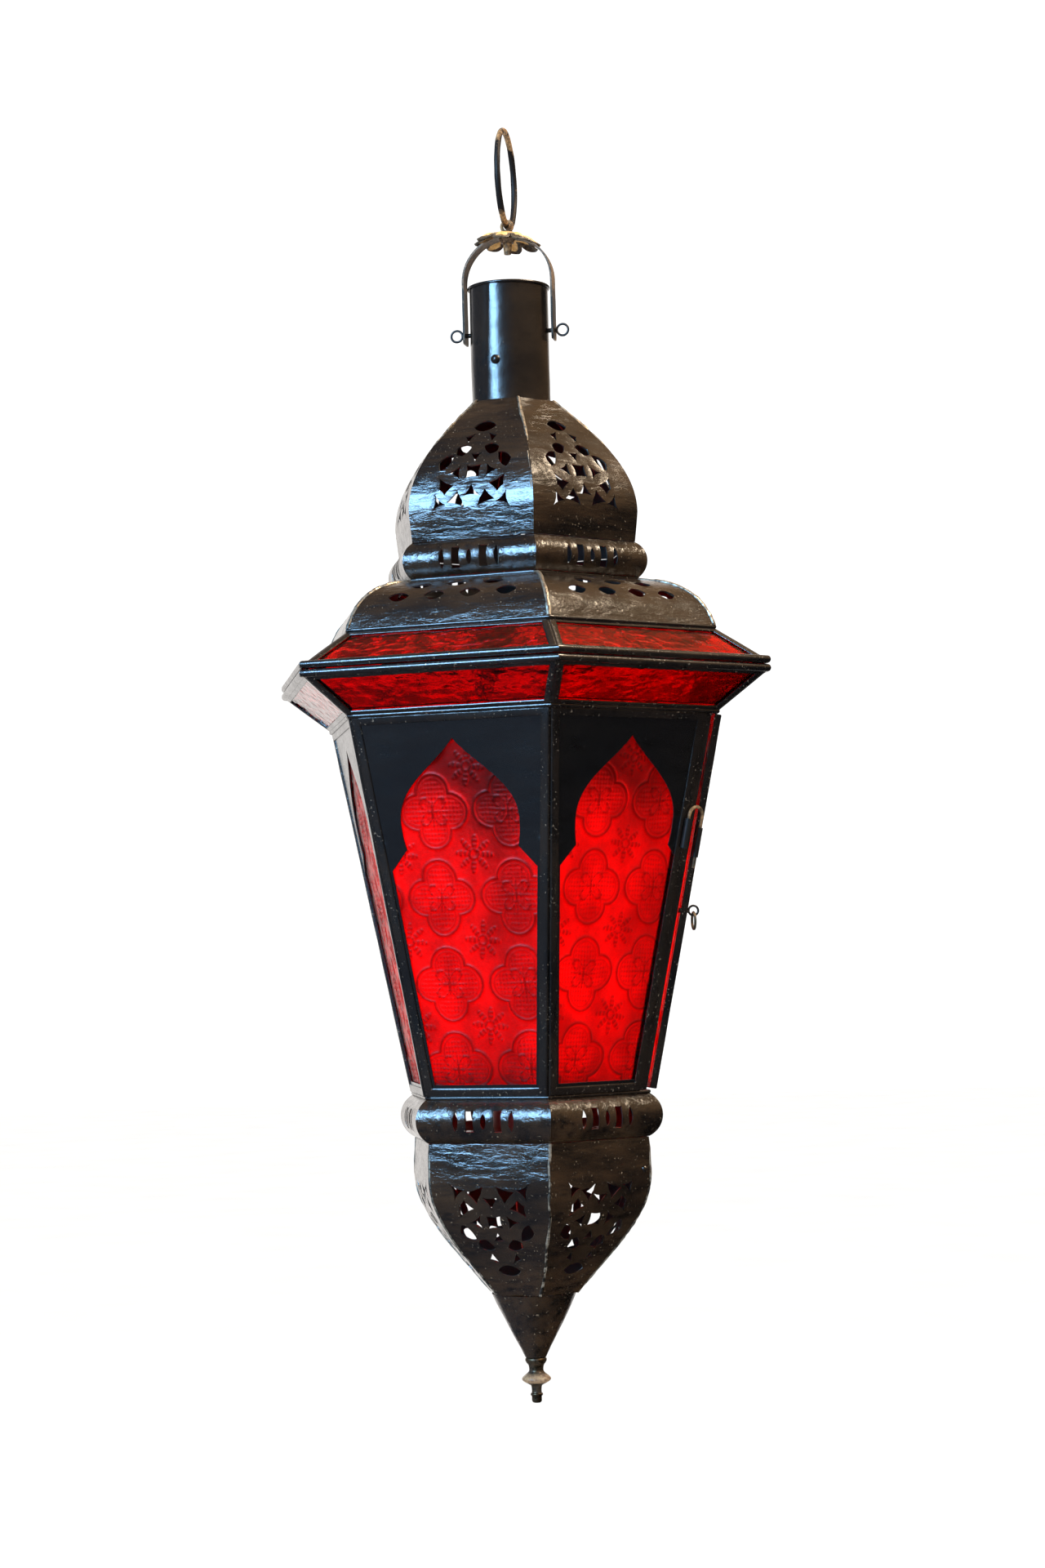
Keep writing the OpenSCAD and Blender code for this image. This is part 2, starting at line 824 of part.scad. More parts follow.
module latch_guide()
  color([0.16, 0.15, 0.14])
    on_edge(free_azimuth, latch_s)
      translate([latch_leg_b[0], latch_leg_b[1], -4])
        difference() {
          cylinder(r = 1.6, h = 16);
          translate([0, 0, -1]) cylinder(r = latch_pin_r + running, h = 18);
        }

module latch_pin()
  color([0.35, 0.28, 0.18])
    on_edge(free_azimuth, latch_s) {
      translate([latch_leg_a[0], latch_leg_a[1], 3]) cylinder(r = latch_pin_r - 0.05, h = 15.4);
      translate([latch_leg_b[0], latch_leg_b[1], -10]) cylinder(r = latch_pin_r - 0.05, h = 28.4);
      translate([(latch_leg_a[0] + latch_leg_b[0]) / 2, (latch_leg_a[1] + latch_leg_b[1]) / 2, 18])
        rotate([0, 0, latch_turn])
          difference() {
            rotate([90, 0, 0])
              rotate_extrude()
                translate([latch_span / 2, 0])
                  circle(latch_pin_r);
            translate([-10, -5, -10]) cube([20, 10, 10]);
          }
    }

// Door pull: a wire eye through the frame and a ring hanging from it
pull_a = side_bottom_a + (pull_z - side_bottom_z) / side_h * (side_top_a - side_bottom_a);
pull_x = pull_a + door_proud / cos(side_tilt) + pull_eye_r + pull_eye_wire_r + 0.2;
pull_y = -(pull_a * HALF - door_free_inset - channel_w / 2);
pull_v = (pull_z - side_bottom_z) / cos(side_tilt);

module pull_shank(extra)
  translate([pull_y, pull_v, -door_d - 1])
    cylinder(r = 0.7 + extra, h = door_d + 4);

module pull_notch()
  translate([pull_y, pull_v])
    circle(1.5);

module pull_eye()
  color([0.16, 0.15, 0.14]) {
    translate([pull_x, pull_y, pull_z])
      rotate([90, 0, 0])
        rotate_extrude()
          translate([pull_eye_r, 0])
            circle(pull_eye_wire_r);
    on_door()
      translate([pull_y, pull_v, -door_d - 0.9]) {
        cylinder(r = 0.7, h = door_d + 0.9 + 1.1);
        cylinder(r = 1.3, h = 0.8);
      }
  }

module pull_ring()
  color([0.16, 0.15, 0.14])
    translate([pull_x, pull_y, pull_z - 1 - pull_ring_r])
      rotate([0, 90, 0])
        rotate_extrude()
          translate([pull_ring_r, 0])
            circle(pull_ring_wire_r);

// ---- Foot ----

module lower_collar()
  color([0.09, 0.1, 0.12])
    for (k = [1 : FACES])
      at_face(k)
        collar_strip(66.9, side_bottom_z - lower_collar_h / 2 - 0.2, 13.4, lower_collar_h - 0.8);

module bowl_petal_1() bowl_petal(1);
module bowl_petal_2() bowl_petal(2);
module bowl_petal_3() bowl_petal(3);
module bowl_petal_4() bowl_petal(4);
module bowl_petal_5() bowl_petal(5);
module bowl_petal_6() bowl_petal(6);

cone_top_r = 23.4;
cone_tip_r = 5.9;
module bottom_cone()
  color([0.08, 0.08, 0.08])
    rotate_extrude()
      polygon([[0, cone_bottom_z], [cone_tip_r, cone_bottom_z], [cone_top_r, bowl_bottom_z - 0.6],
        [cone_top_r, bowl_bottom_z - 0.2], [cone_top_r - sheet, bowl_bottom_z - 0.2],
        [cone_tip_r - sheet, cone_bottom_z + 3], [0, cone_bottom_z + 3]]);

// Turned finial: bead, neck, broad disc, stem, small ring and tip
module finial()
  color([0.3, 0.24, 0.17])
    translate([0, 0, cone_bottom_z - seam])
      rotate_extrude()
        polygon([[0, 0], [5.6, 0], [6.1, -1.4], [5.4, -2.8], [4.2, -4.2], [3.9, -7], [4.6, -8.2],
          [7.6, -10.4], [8.3, -11.6], [7.6, -12.8], [4.4, -14.4], [2.9, -15.2], [2.7, -19],
          [3.5, -19.5], [3.5, -20.4], [2.8, -20.9], [2.9, -finial_h + 1.2],
          [2.2, -finial_h + seam], [0, -finial_h + seam]]);

// ---- Candle ----

bridge_z = side_bottom_z - 20.8;
bridge_w = 30;
bridge_half = 61.7;
module candle_bridge()
  color([0.12, 0.12, 0.12])
    translate([-bridge_half, -bridge_w / 2, bridge_z - 1])
      cube([2 * bridge_half, bridge_w, 1]);

cup_r = candle_r + 1;
module candle_cup()
  color([0.2, 0.19, 0.18])
    translate([0, 0, bridge_z + 0.1])
      difference() {
        cylinder(r = cup_r, h = 11);
        translate([0, 0, 1]) cylinder(r = cup_r - 0.7, h = 11);
      }

module candle()
  color([0.93, 0.9, 0.82])
    translate([0, 0, bridge_z + 1.2])
      difference() {
        cylinder(r = candle_r, h = candle_h);
        translate([0, 0, candle_h - 9]) cylinder(r = 0.7, h = 10);
      }

module wick()
  color([0.12, 0.1, 0.08])
    translate([0, 0, bridge_z + 1.3 + candle_h - 9])
      cylinder(r = 0.65, h = 15);

hanging_ring();
swivel_eye();
rosette();
rosette_washer();
bail_strap();
bail_eye_left();
bail_eye_right();
chimney_tube();
sheet_rivets();
dome_petal_1();
dome_petal_2();
dome_petal_3();
dome_petal_4();
dome_petal_5();
dome_petal_6();
upper_collar();
shoulder_panels();
upper_band_frame();
upper_band_glass();
lower_band_frame();
lower_band_glass();
side_frame_1();
side_frame_2();
side_frame_3();
side_frame_4();
side_frame_5();
side_glass_1();
side_glass_2();
side_glass_3();
side_glass_4();
side_glass_5();
side_arch_1();
side_arch_2();
side_arch_3();
side_arch_4();
side_arch_5();
door_frame();
door_glass();
door_arch();
hinge_knuckles();
hinge_pins();
door_knuckles();
latch_tube();
latch_guide();
latch_pin();
pull_eye();
pull_ring();
lower_collar();
bowl_petal_1();
bowl_petal_2();
bowl_petal_3();
bowl_petal_4();
bowl_petal_5();
bowl_petal_6();
bottom_cone();
finial();
candle_bridge();
candle_cup();
candle();
wick();
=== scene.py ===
import math

import bmesh
import bpy
import numpy as np
from mathutils import Matrix, Vector
from mathutils.geometry import delaunay_2d_cdt


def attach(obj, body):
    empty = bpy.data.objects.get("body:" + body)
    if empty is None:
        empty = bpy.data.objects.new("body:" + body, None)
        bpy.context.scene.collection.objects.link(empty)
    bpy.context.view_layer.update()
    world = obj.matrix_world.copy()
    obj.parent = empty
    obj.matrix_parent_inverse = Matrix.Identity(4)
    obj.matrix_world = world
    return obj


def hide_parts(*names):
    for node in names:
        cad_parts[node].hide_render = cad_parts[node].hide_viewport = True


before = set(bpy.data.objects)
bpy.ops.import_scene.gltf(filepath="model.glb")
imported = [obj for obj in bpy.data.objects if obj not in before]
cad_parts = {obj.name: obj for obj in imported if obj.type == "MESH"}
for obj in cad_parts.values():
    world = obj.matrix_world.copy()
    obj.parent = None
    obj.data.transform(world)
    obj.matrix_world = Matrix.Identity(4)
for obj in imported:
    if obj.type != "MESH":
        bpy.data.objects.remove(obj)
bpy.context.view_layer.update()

# Everything below is drawn in millimetres, in the CAD's frame, and turned into metres by piece()
MM = 0.001
HALF = math.tan(math.pi / 6)      # half a side of a hexagon, for an apothem of 1
APOTHEM = math.cos(math.pi / 6)   # the apothem, for a corner's radius of 1
SHEET = 0.8
EDGE_GAP = 0.06   # each sheet stops this far short of the corner

DOME_TOP, DOME_BOTTOM = -151.4, -232.8
COLLAR1_BOTTOM, SHOULDER_BOTTOM = -253.6, -281.2
RIM_TOP, RIM_BOTTOM = -301.1, -306.1
SIDE_TOP, SIDE_BOTTOM = -327.8, -530.3
COLLAR2_BOTTOM, BOWL_BOTTOM = -554.7, -638.7
CONE_BOTTOM = -674.0
# Names that end in _A are apothems
SIDE_TOP_A, SIDE_BOTTOM_A = 115 * APOTHEM, 71.4 * APOTHEM
SIDE_LEN = math.hypot(SIDE_TOP_A - SIDE_BOTTOM_A, SIDE_TOP - SIDE_BOTTOM)
SIDE_TILT = math.atan2(SIDE_TOP_A - SIDE_BOTTOM_A, SIDE_TOP - SIDE_BOTTOM)
RIM_A = 146 * APOTHEM


# ---- Numbers and noise ----

def lattice(cell, seed):
    n = cell[:, 0] * 73856093 ^ cell[:, 1] * 19349663 ^ cell[:, 2] * 83492791 ^ (seed * 39916801 + 7)
    n = (n ^ (n >> 13)) * 1274126177 & 0x7FFFFFFF
    n = (n ^ (n >> 15)) * 668265263 & 0x7FFFFFFF
    return (n & 0xFFFF) / 32767.5 - 1.0


def wobble(points, size, seed):
    """Smooth noise from -1 to 1 over points, with bumps about size across."""
    p = np.asarray(points, float) / size
    base = np.floor(p).astype(np.int64)
    f = p - base
    f = f * f * (3 - 2 * f)
    total = np.zeros(len(p))
    for corner in np.ndindex(2, 2, 2):
        weight = np.ones(len(p))
        for axis, up in enumerate(corner):
            weight *= f[:, axis] if up else 1 - f[:, axis]
        total += weight * lattice(base + np.array(corner), seed)
    return total


def flat_3d(p):
    """Points of a drawing as points in space, for wobble."""
    return np.concatenate([p, p[:, :1] * 0], 1)


def smooth_step(x):
    x = np.clip(x, 0, 1)
    return x * x * (3 - 2 * x)


def bezier(p, steps):
    t = np.linspace(0, 1, steps + 1)[:, None]
    p = np.asarray(p, float)
    return (1 - t) ** 3 * p[0] + 3 * t * (1 - t) ** 2 * p[1] + 3 * t * t * (1 - t) * p[2] + t ** 3 * p[3]


def around(points, degrees):
    """Turns points about Z."""
    t = math.radians(degrees)
    return points @ np.array([[math.cos(t), math.sin(t), 0], [-math.sin(t), math.cos(t), 0], [0, 0, 1]])


def mirrored(right):
    """The outline of a face from its right-hand edge."""
    return np.concatenate([right, right[::-1] * (-1, 1)])


# ---- Building meshes ----

def quads(rows, columns, closed_rows=False, closed_columns=False):
    """Faces of a net of points, joined up in each direction that is closed."""
    faces = []
    for i in range(rows if closed_rows else rows - 1):
        j = (i + 1) % rows
        for k in range(columns if closed_columns else columns - 1):
            m = (k + 1) % columns
            faces.append((i * columns + k, i * columns + m, j * columns + m, j * columns + k))
    return faces


def merge(parts):
    points, faces, worked, start = [], [], [], 0
    for p, f, *more in parts:
        points.append(np.asarray(p, float))
        faces += [tuple(i + start for i in face) for face in f]
        worked.append(more[0] if more else np.zeros(len(p)))
        start += len(p)
    return np.concatenate(points), faces, np.concatenate(worked)


def piece(name, shape, material, body, replaces=(), azimuth=0.0, crease=38.0):
    """One object of the lantern: shape is (points in mm, faces), turned by azimuth about Z. A third item
    is a number from 0 to 1 per point, which the material reads as "worked"."""
    points, faces = shape[:2]
    mesh = bpy.data.meshes.new(name)
    mesh.from_pydata((np.asarray(points, float) * MM).tolist(), [], [list(map(int, f)) for f in faces])
    if len(shape) > 2:
        mesh.attributes.new("worked", "FLOAT", "POINT").data.foreach_set("value", np.asarray(shape[2], float))
    bm = bmesh.new()
    bm.from_mesh(mesh)
    bmesh.ops.dissolve_degenerate(bm, edges=bm.edges, dist=1e-7)
    bmesh.ops.recalc_face_normals(bm, faces=bm.faces)
    bm.to_mesh(mesh)
    bm.free()
    mesh.shade_smooth()
    mesh.set_sharp_from_angle(angle=math.radians(crease))
    mesh.materials.append(material)
    obj = bpy.data.objects.new(name, mesh)
    bpy.context.scene.collection.objects.link(obj)
    obj.rotation_euler = (0, 0, math.radians(azimuth))
    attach(obj, body)
    if replaces:
        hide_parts(*replaces)
    return obj


def tube(path, radius, sides=10, closed=False, flat=1.0):
    """A bar along a path. radius is one number or one per point; flat squashes it across."""
    path = np.asarray(path, float)
    n = len(path)
    radius = np.broadcast_to(np.asarray(radius, float), (n,))
    if closed:
        along = np.roll(path, -1, 0) - np.roll(path, 1, 0)
    else:
        along = np.gradient(path, axis=0)
    along /= np.linalg.norm(along, axis=1)[:, None]
    side = np.cross(along[0], [0, 0, 1.0])
    if np.linalg.norm(side) < 0.1:
        side = np.cross(along[0], [0, 1.0, 0])
    rings = []
    for i in range(n):
        side = side - along[i] * side.dot(along[i])
        side /= np.linalg.norm(side)
        up = np.cross(along[i], side)
        t = np.linspace(0, 2 * math.pi, sides, endpoint=False)
        rings.append(path[i] + radius[i] * (np.cos(t)[:, None] * side + flat * np.sin(t)[:, None] * up))
    points = np.concatenate(rings)
    faces = quads(n, sides, closed, True)
    if not closed:
        faces.append(tuple(range(sides)))
        faces.append(tuple(range((n - 1) * sides, n * sides)))
    return points, faces


def lathe(profile, steps=72, closed=False, push=None):
    """Turns (radius, z) points about Z. A closed profile is a ring with no axis; push moves points out."""
    profile = np.asarray(profile, float)
    points, index = [], []
    for r, z in profile:
        if r < 1e-6:
            index.append([len(points)] * steps)
            points.append((0, 0, z))
        else:
            start = len(points)
            index.append([start + i for i in range(steps)])
            for i in range(steps):
                t = 2 * math.pi * i / steps
                points.append((r * math.cos(t), r * math.sin(t), z))
    points = np.array(points)
    if push is not None:
        out = points.copy()
        out[:, 2] = 0
        length = np.linalg.norm(out, axis=1)
        out[length > 0] /= length[length > 0][:, None]
        points = points + out * (push(points) * (length > 0))[:, None]
    faces = []
    rows = len(profile)
    for a in range(rows if closed else rows - 1):
        b = (a + 1) % rows
        for i in range(steps):
            j = (i + 1) % steps
            corners = []
            for v in (index[a][i], index[a][j], index[b][j], index[b][i]):
                if v not in corners:
                    corners.append(v)
            if len(corners) > 2:
                faces.append(tuple(corners))
    return points, faces


def inside(points, polygon):
    x, y = points[:, 0], points[:, 1]
    result = np.zeros(len(points), bool)
    polygon = np.asarray(polygon, float)
    for (xa, ya), (xb, yb) in zip(polygon, np.roll(polygon, -1, 0)):
        if ya == yb:
            continue
        result ^= ((ya > y) != (yb > y)) & (x < (xb - xa) * (y - ya) / (yb - ya) + xa)
    return result


def resample(polygon, step):
    polygon = np.asarray(polygon, float)
    out = []
    for a, b in zip(polygon, np.roll(polygon, -1, 0)):
        n = max(1, math.ceil(np.linalg.norm(b - a) / step))
        out += [a + (b - a) * i / n for i in range(n)]
    return np.array(out)


def on_sheet(points, outline, *holes):
    keep = inside(points, outline)
    for hole in holes:
        keep &= ~inside(points, hole)
    return keep


def nearest(points, others):
    """How far each point is from the closest of the others."""
    return np.sqrt(((points[:, None] - others[None]) ** 2).sum(2)).min(1)


def flat_sheet(outline, holes, step):
    """A net of triangles over a drawing with holes: points, triangles, edge pairs, and how far each
    point is from the nearest hole and from the outline."""
    loops = [resample(outline, step)] + [resample(h, step * 0.5) for h in holes]
    edges, start = [], 0
    for loop in loops:
        n = len(loop)
        edges += [(start + i, start + (i + 1) % n) for i in range(n)]
        start += n
    rim = np.concatenate(loops)
    lo, hi = rim.min(0), rim.max(0)
    rows = np.arange(lo[1], hi[1], step * 0.866)
    grid = np.array([(x + (0.5 * step if r % 2 else 0), y) for r, y in enumerate(rows)
                     for x in np.arange(lo[0], hi[0], step)])
    grid = grid[on_sheet(grid, *loops)]
    grid = grid[nearest(grid, rim) > 0.5 * step]
    source = [Vector(p) for p in np.concatenate([rim, grid]).tolist()]
    verts, _, faces, *_ = delaunay_2d_cdt(source, edges, [], 0, 1e-5)
    points = np.array([tuple(v) for v in verts])
    faces = np.array([f for f in faces if len(f) == 3])
    faces = faces[on_sheet(points[faces].mean(1), *loops)]
    used = np.unique(faces)
    renumber = np.full(len(points), -1)
    renumber[used] = np.arange(len(used))
    points, faces = points[used], renumber[faces]
    sides = dict.fromkeys((f[i], f[(i + 1) % 3]) for f in faces for i in range(3))
    border = [(a, b) for a, b in sides if (b, a) not in sides]
    inner = nearest(points, np.concatenate(loops[1:])) if holes else np.full(len(points), 99.0)
    return points, faces, border, inner, nearest(points, loops[0])


def shell(net, surface, thickness, relief, outward=1, mitre=True):
    """Bends a flat sheet onto surface(points) and gives it its thickness."""
    points, faces, border, inner, outer = net
    eps = 0.05
    front = surface(points)
    du = surface(points + (eps, 0)) - surface(points - (eps, 0))
    dv = surface(points + (0, eps)) - surface(points - (0, eps))
    normal = np.cross(du, dv) * outward
    normal /= np.linalg.norm(normal, axis=1)[:, None]
    front = front + normal * relief(front, inner, outer)[:, None]
    back = front - normal * thickness
    if mitre:
        back[:, 1] = front[:, 1] * (back[:, 0] / front[:, 0])
    n = len(points)
    all_faces = [tuple(f) for f in faces] + [tuple(f[::-1] + n) for f in faces]
    all_faces += [(b, a, a + n, b + n) for a, b in border]
    return np.concatenate([front, back]), all_faces, np.repeat([0.0, 1.0], n)


def lens(w, h, steps=7):
    """A pointed eye lying along x."""
    r = (w * w / 4 + h * h / 4) / h
    t = math.asin(min(1, w / 2 / r))
    a = np.linspace(-t, t, steps)
    top = np.stack([r * np.sin(a), r * np.cos(a) - r + h / 2], 1)
    return np.concatenate([top[:-1], -top[:-1]])


def curved(corners, sag, steps=4):
    """A polygon whose sides are arcs: sag above 0 bends them inwards."""
    corners = np.asarray(corners, float)
    centre = corners.mean(0)
    out = []
    for a, b in zip(corners, np.roll(corners, -1, 0)):
        across = b - a
        normal = np.array([-across[1], across[0]])
        if normal.dot(centre - (a + b) / 2) < 0:
            normal = -normal
        for i in range(steps):
            t = i / steps
            out.append(a + across * t + normal * sag * 4 * t * (1 - t))
    return np.array(out)


def triangle(w, h, sag=0.13):
    return curved([(-w / 2, -h / 2), (w / 2, -h / 2), (0, h / 2)], sag)


def place(shape, x, y, turn=0.0, side=1):
    t = math.radians(turn)
    s = np.asarray(shape, float)
    s = np.stack([s[:, 0] * math.cos(t) - s[:, 1] * math.sin(t) + x,
                  s[:, 0] * math.sin(t) + s[:, 1] * math.cos(t) + y], 1)
    s[:, 0] *= side
    return s


# ---- Materials ----

class Graph:
    """Short names for building a node tree. A value is a number, a colour or another node's output."""

    def __init__(self, tree):
        self.tree = tree
        tree.nodes.clear()

    def fill(self, socket, value):
        if isinstance(value, bpy.types.NodeSocket):
            self.tree.links.new(value, socket)
        else:
            socket.default_value = value

    def add(self, kind, sockets=None, **settings):
        node = self.tree.nodes.new("ShaderNode" + kind)
        for key, value in settings.items():
            setattr(node, key, value)
        for key, value in (sockets or {}).items():
            self.fill(node.inputs[key], value)
        return node

    def math(self, operation, a, b, c=0.0):
        return self.add("Math", {0: a, 1: b, 2: c}, operation=operation).outputs[0]

    def mix(self, factor, a, b):
        return self.add("Mix", {0: factor, 6: a, 7: b}, data_type="RGBA").outputs[2]

    def step(self, value, lo, hi):
        sockets = {"Value": value, "From Min": lo, "From Max": hi}
        return self.add("MapRange", sockets, interpolation_type="SMOOTHSTEP").outputs[0]


class Look(Graph):
    """One material's node tree, in the object's own coordinates."""

    def __init__(self, name):
        self.material = bpy.data.materials.new(name)
        self.material.use_nodes = True
        super().__init__(self.material.node_tree)
        self.shader = self.add("BsdfPrincipled")
        self.add("OutputMaterial", {0: self.shader.outputs[0]})
        self.coords = self.add("TexCoord").outputs["Object"]

    def to(self, value, socket):
        self.fill(self.shader.inputs[socket], value)

    def put(self, **values):
        for key, value in values.items():
            self.to(value, key.replace("_", " "))

    def noise(self, scale, detail=4.0, rough=0.55, stretch=(1, 1, 1), shift=(0, 0, 0), distort=0.0):
        where = self.add("Mapping", {"Vector": self.coords, "Scale": stretch, "Location": shift}).outputs[0]
        return self.add("TexNoise", {"Vector": where, "Scale": scale, "Detail": detail, "Roughness": rough,
                                     "Distortion": distort}).outputs["Fac"]

    def worked(self):
        """The number that piece() was given for each point."""
        return self.add("Attribute", attribute_name="worked").outputs["Fac"]

    def level(self, lo, hi):
        """0 below the height lo and 1 above hi, in mm."""
        height = self.add("SeparateXYZ", {0: self.coords}).outputs["Z"]
        return self.step(height, lo * MM, hi * MM)

    def ramp(self, value, stops):
        node = self.add("ValToRGB", {0: value})
        elements = node.color_ramp.elements
        elements[0].position, elements[0].color = stops[0]
        elements[1].position, elements[1].color = stops[-1]
        for position, colour in stops[1:-1]:
            elements.new(position).color = colour
        return node.outputs[0]

    def mask(self, value, lo, hi):
        return self.ramp(value, [(lo, (0, 0, 0, 1)), (hi, (1, 1, 1, 1))])

    def span(self, value, lo, hi):
        """Stretches 0..1 to lo..hi."""
        return self.add("MapRange", {"Value": value, "To Min": lo, "To Max": hi}).outputs[0]

    def bumps(self, *layers):
        """layers are (height, distance in mm, strength), the first the deepest."""
        normal = None
        for height, distance, strength in layers:
            bump = self.add("Bump", {"Height": height, "Distance": distance * MM, "Strength": strength})
            if normal is not None:
                self.fill(bump.inputs["Normal"], normal)
            normal = bump.outputs[0]
        self.to(normal, "Normal")


def rgb(r, g, b):
    return (r, g, b, 1.0)


def painted_tin(name, dark, warm, bare, roughness, wear=0.66, stretch=(1, 1, 1), crinkle=1.0):
    """Black lacquer on tin: cloudy, warmer in patches, crinkled, rubbed through to the metal in flecks."""
    n = Look(name)
    clouds = n.noise(28, 5, 0.6, stretch)
    grime = n.noise(120, 6, 0.65, stretch, (3, 1, 2))
    flecks = n.noise(700, 3, 0.6, (1, 1, 1), (5, 2, 9))
    base = n.ramp(clouds, [(0.32, dark), (0.52, tuple((a + b) / 2 for a, b in zip(dark, warm))), (0.72, warm)])
    base = n.mix(n.mask(grime, 0.5, 0.7), base, tuple(c * 0.4 for c in dark[:3]) + (1,))
    rubbed = n.math("MULTIPLY", n.mask(flecks, wear, wear + 0.05), n.mask(grime, 0.45, 0.62))
    soot = n.mask(n.worked(), 0.3, 0.6)
    n.to(n.mix(soot, n.mix(rubbed, base, bare), rgb(0.004, 0.0035, 0.003)), "Base Color")
    gloss = n.math("ADD", n.span(clouds, *roughness), n.math("MULTIPLY", n.mask(grime, 0.45, 0.8), 0.1))
    n.to(n.math("ADD", gloss, n.math("MULTIPLY", soot, 0.6)), "Roughness")
    n.to(n.math("MULTIPLY", rubbed, n.math("SUBTRACT", 0.8, n.math("MULTIPLY", soot, 0.8))), "Metallic")
    n.bumps((n.noise(55, 3, 0.5, stretch, (1, 7, 3)), 1.1, 0.27 * crinkle),
            (n.noise(170, 4, 0.6, stretch, (8, 4, 1), 0.5), 0.8, 0.5 * crinkle),
            (n.noise(1300, 3, 0.6, (1, 0.6, 1.4)), 0.07, 0.6))
    n.put(Specular_IOR_Level=1.0)
    return n.material


CRINKLE = (1.8, 0.5, 1.8)
sheet_tin = painted_tin("blackened_tin", rgb(0.004, 0.003, 0.0025), rgb(0.034, 0.018, 0.008),
                        rgb(0.5, 0.4, 0.28), (0.12, 0.24), stretch=CRINKLE)
tube_tin = painted_tin("chimney_lacquer", rgb(0.004, 0.0035, 0.0035), rgb(0.016, 0.01, 0.006),
                       rgb(0.2, 0.17, 0.14), (0.16, 0.26), 0.7, crinkle=0.35)
channel_tin = painted_tin("channel_lacquer", rgb(0.003, 0.003, 0.0035), rgb(0.014, 0.009, 0.006),
                          rgb(0.4, 0.33, 0.25), (0.16, 0.28), 0.64, (1, 1, 0.5), 0.5)
# The arch plates' copy of the lacquer is darker and bluer, with no warm patches: painted shade, as these plates
# face down
arch_tin_painted_shade = painted_tin("arch_lacquer_painted_shade", rgb(0.002, 0.0025, 0.0035), rgb(0.005, 0.0045, 0.0045),
                       rgb(0.12, 0.12, 0.12), (0.16, 0.26), 0.7, (1, 0.5, 1.4), 0.22)


def solder_look():
    n = Look("solder")
    patches = n.noise(300, 4, 0.6)
    spots = n.noise(900, 3, 0.6, shift=(4, 4, 4))
    base = n.ramp(patches, [(0.3, rgb(0.06, 0.05, 0.04)), (0.5, rgb(0.33, 0.29, 0.23)), (0.7, rgb(0.5, 0.46, 0.4))])
    n.to(n.mix(n.mask(spots, 0.55, 0.65), base, rgb(0.03, 0.025, 0.02)), "Base Color")
    n.to(n.span(patches, 0.6, 0.32), "Roughness")
    n.to(n.mask(patches, 0.38, 0.52), "Metallic")
    n.bumps((spots, 0.15, 0.5))
    return n.material


def iron_look(name, dark, rust, amount, roughness=(0.4, 0.7), bump=0.5, ends=None):
    """Dark iron with rust in patches; ends is a height in mm that more rust starts at, each way."""
    n = Look(name)
    patches = n.noise(90, 6, 0.65)
    if ends:
        low = n.math("SUBTRACT", 1.0, n.level(ends[0] - 8, ends[0] + 3))
        patches = n.math("ADD", patches, n.math("MULTIPLY", n.math("MAXIMUM", low, n.level(*ends[1:])), 0.22))
    pits = n.noise(700, 3, 0.6, shift=(2, 8, 1))
    where = n.mask(patches, amount, amount + 0.12)
    base = n.mix(where, dark, n.mix(n.mask(pits, 0.4, 0.6), rust, tuple(c * 0.4 for c in rust[:3]) + (1,)))
    n.to(base, "Base Color")
    n.to(n.span(patches, *roughness), "Roughness")
    n.to(n.math("SUBTRACT", 0.75, n.math("MULTIPLY", where, 0.75)), "Metallic")
    n.bumps((n.noise(240, 4, 0.6, shift=(6, 1, 3)), 0.25, bump), (pits, 0.06, 0.4))
    return n.material


solder = solder_look()
ring_iron = iron_look("ring_iron", rgb(0.03, 0.026, 0.024), rgb(0.36, 0.2, 0.08), 0.58, ends=(-44, -16, -2))
strap_iron = iron_look("strap_iron", rgb(0.03, 0.024, 0.02), rgb(0.2, 0.12, 0.06), 0.47, (0.3, 0.55),
                       ends=(-130, -92, -62))
dark_wire = iron_look("dark_wire", rgb(0.05, 0.048, 0.048), rgb(0.09, 0.055, 0.03), 0.6, (0.3, 0.5), 0.3)
rusty_wire = iron_look("rusty_wire", rgb(0.09, 0.07, 0.045), rgb(0.27, 0.15, 0.06), 0.47, (0.35, 0.6))
plain_tin = iron_look("plain_tin", rgb(0.3, 0.29, 0.27), rgb(0.12, 0.08, 0.05), 0.58, (0.3, 0.55), 0.3)
door_iron = iron_look("hinge_iron", rgb(0.03, 0.028, 0.027), rgb(0.1, 0.06, 0.03), 0.55, (0.35, 0.6))


def gilt_look():
    n = Look("gilt_tin")
    patches = n.noise(95, 4, 0.5, shift=(0.031, 0.052, 0.0))
    dirt = n.noise(420, 4, 0.6, shift=(3, 1, 0))
    gold = n.ramp(dirt, [(0.3, rgb(0.5, 0.26, 0.07)), (0.55, rgb(0.86, 0.5, 0.17)), (0.8, rgb(0.95, 0.68, 0.3))])
    brown = n.ramp(dirt, [(0.3, rgb(0.025, 0.018, 0.012)), (0.7, rgb(0.12, 0.08, 0.045))])
    where = n.mask(n.math("ADD", patches, n.math("MULTIPLY", n.worked(), 0.3)), 0.64, 0.7)
    n.to(n.mix(where, brown, gold), "Base Color")
    n.to(n.span(dirt, 0.35, 0.6), "Roughness")
    n.bumps((patches, 0.3, 0.3), (dirt, 0.1, 0.4))
    return n.material


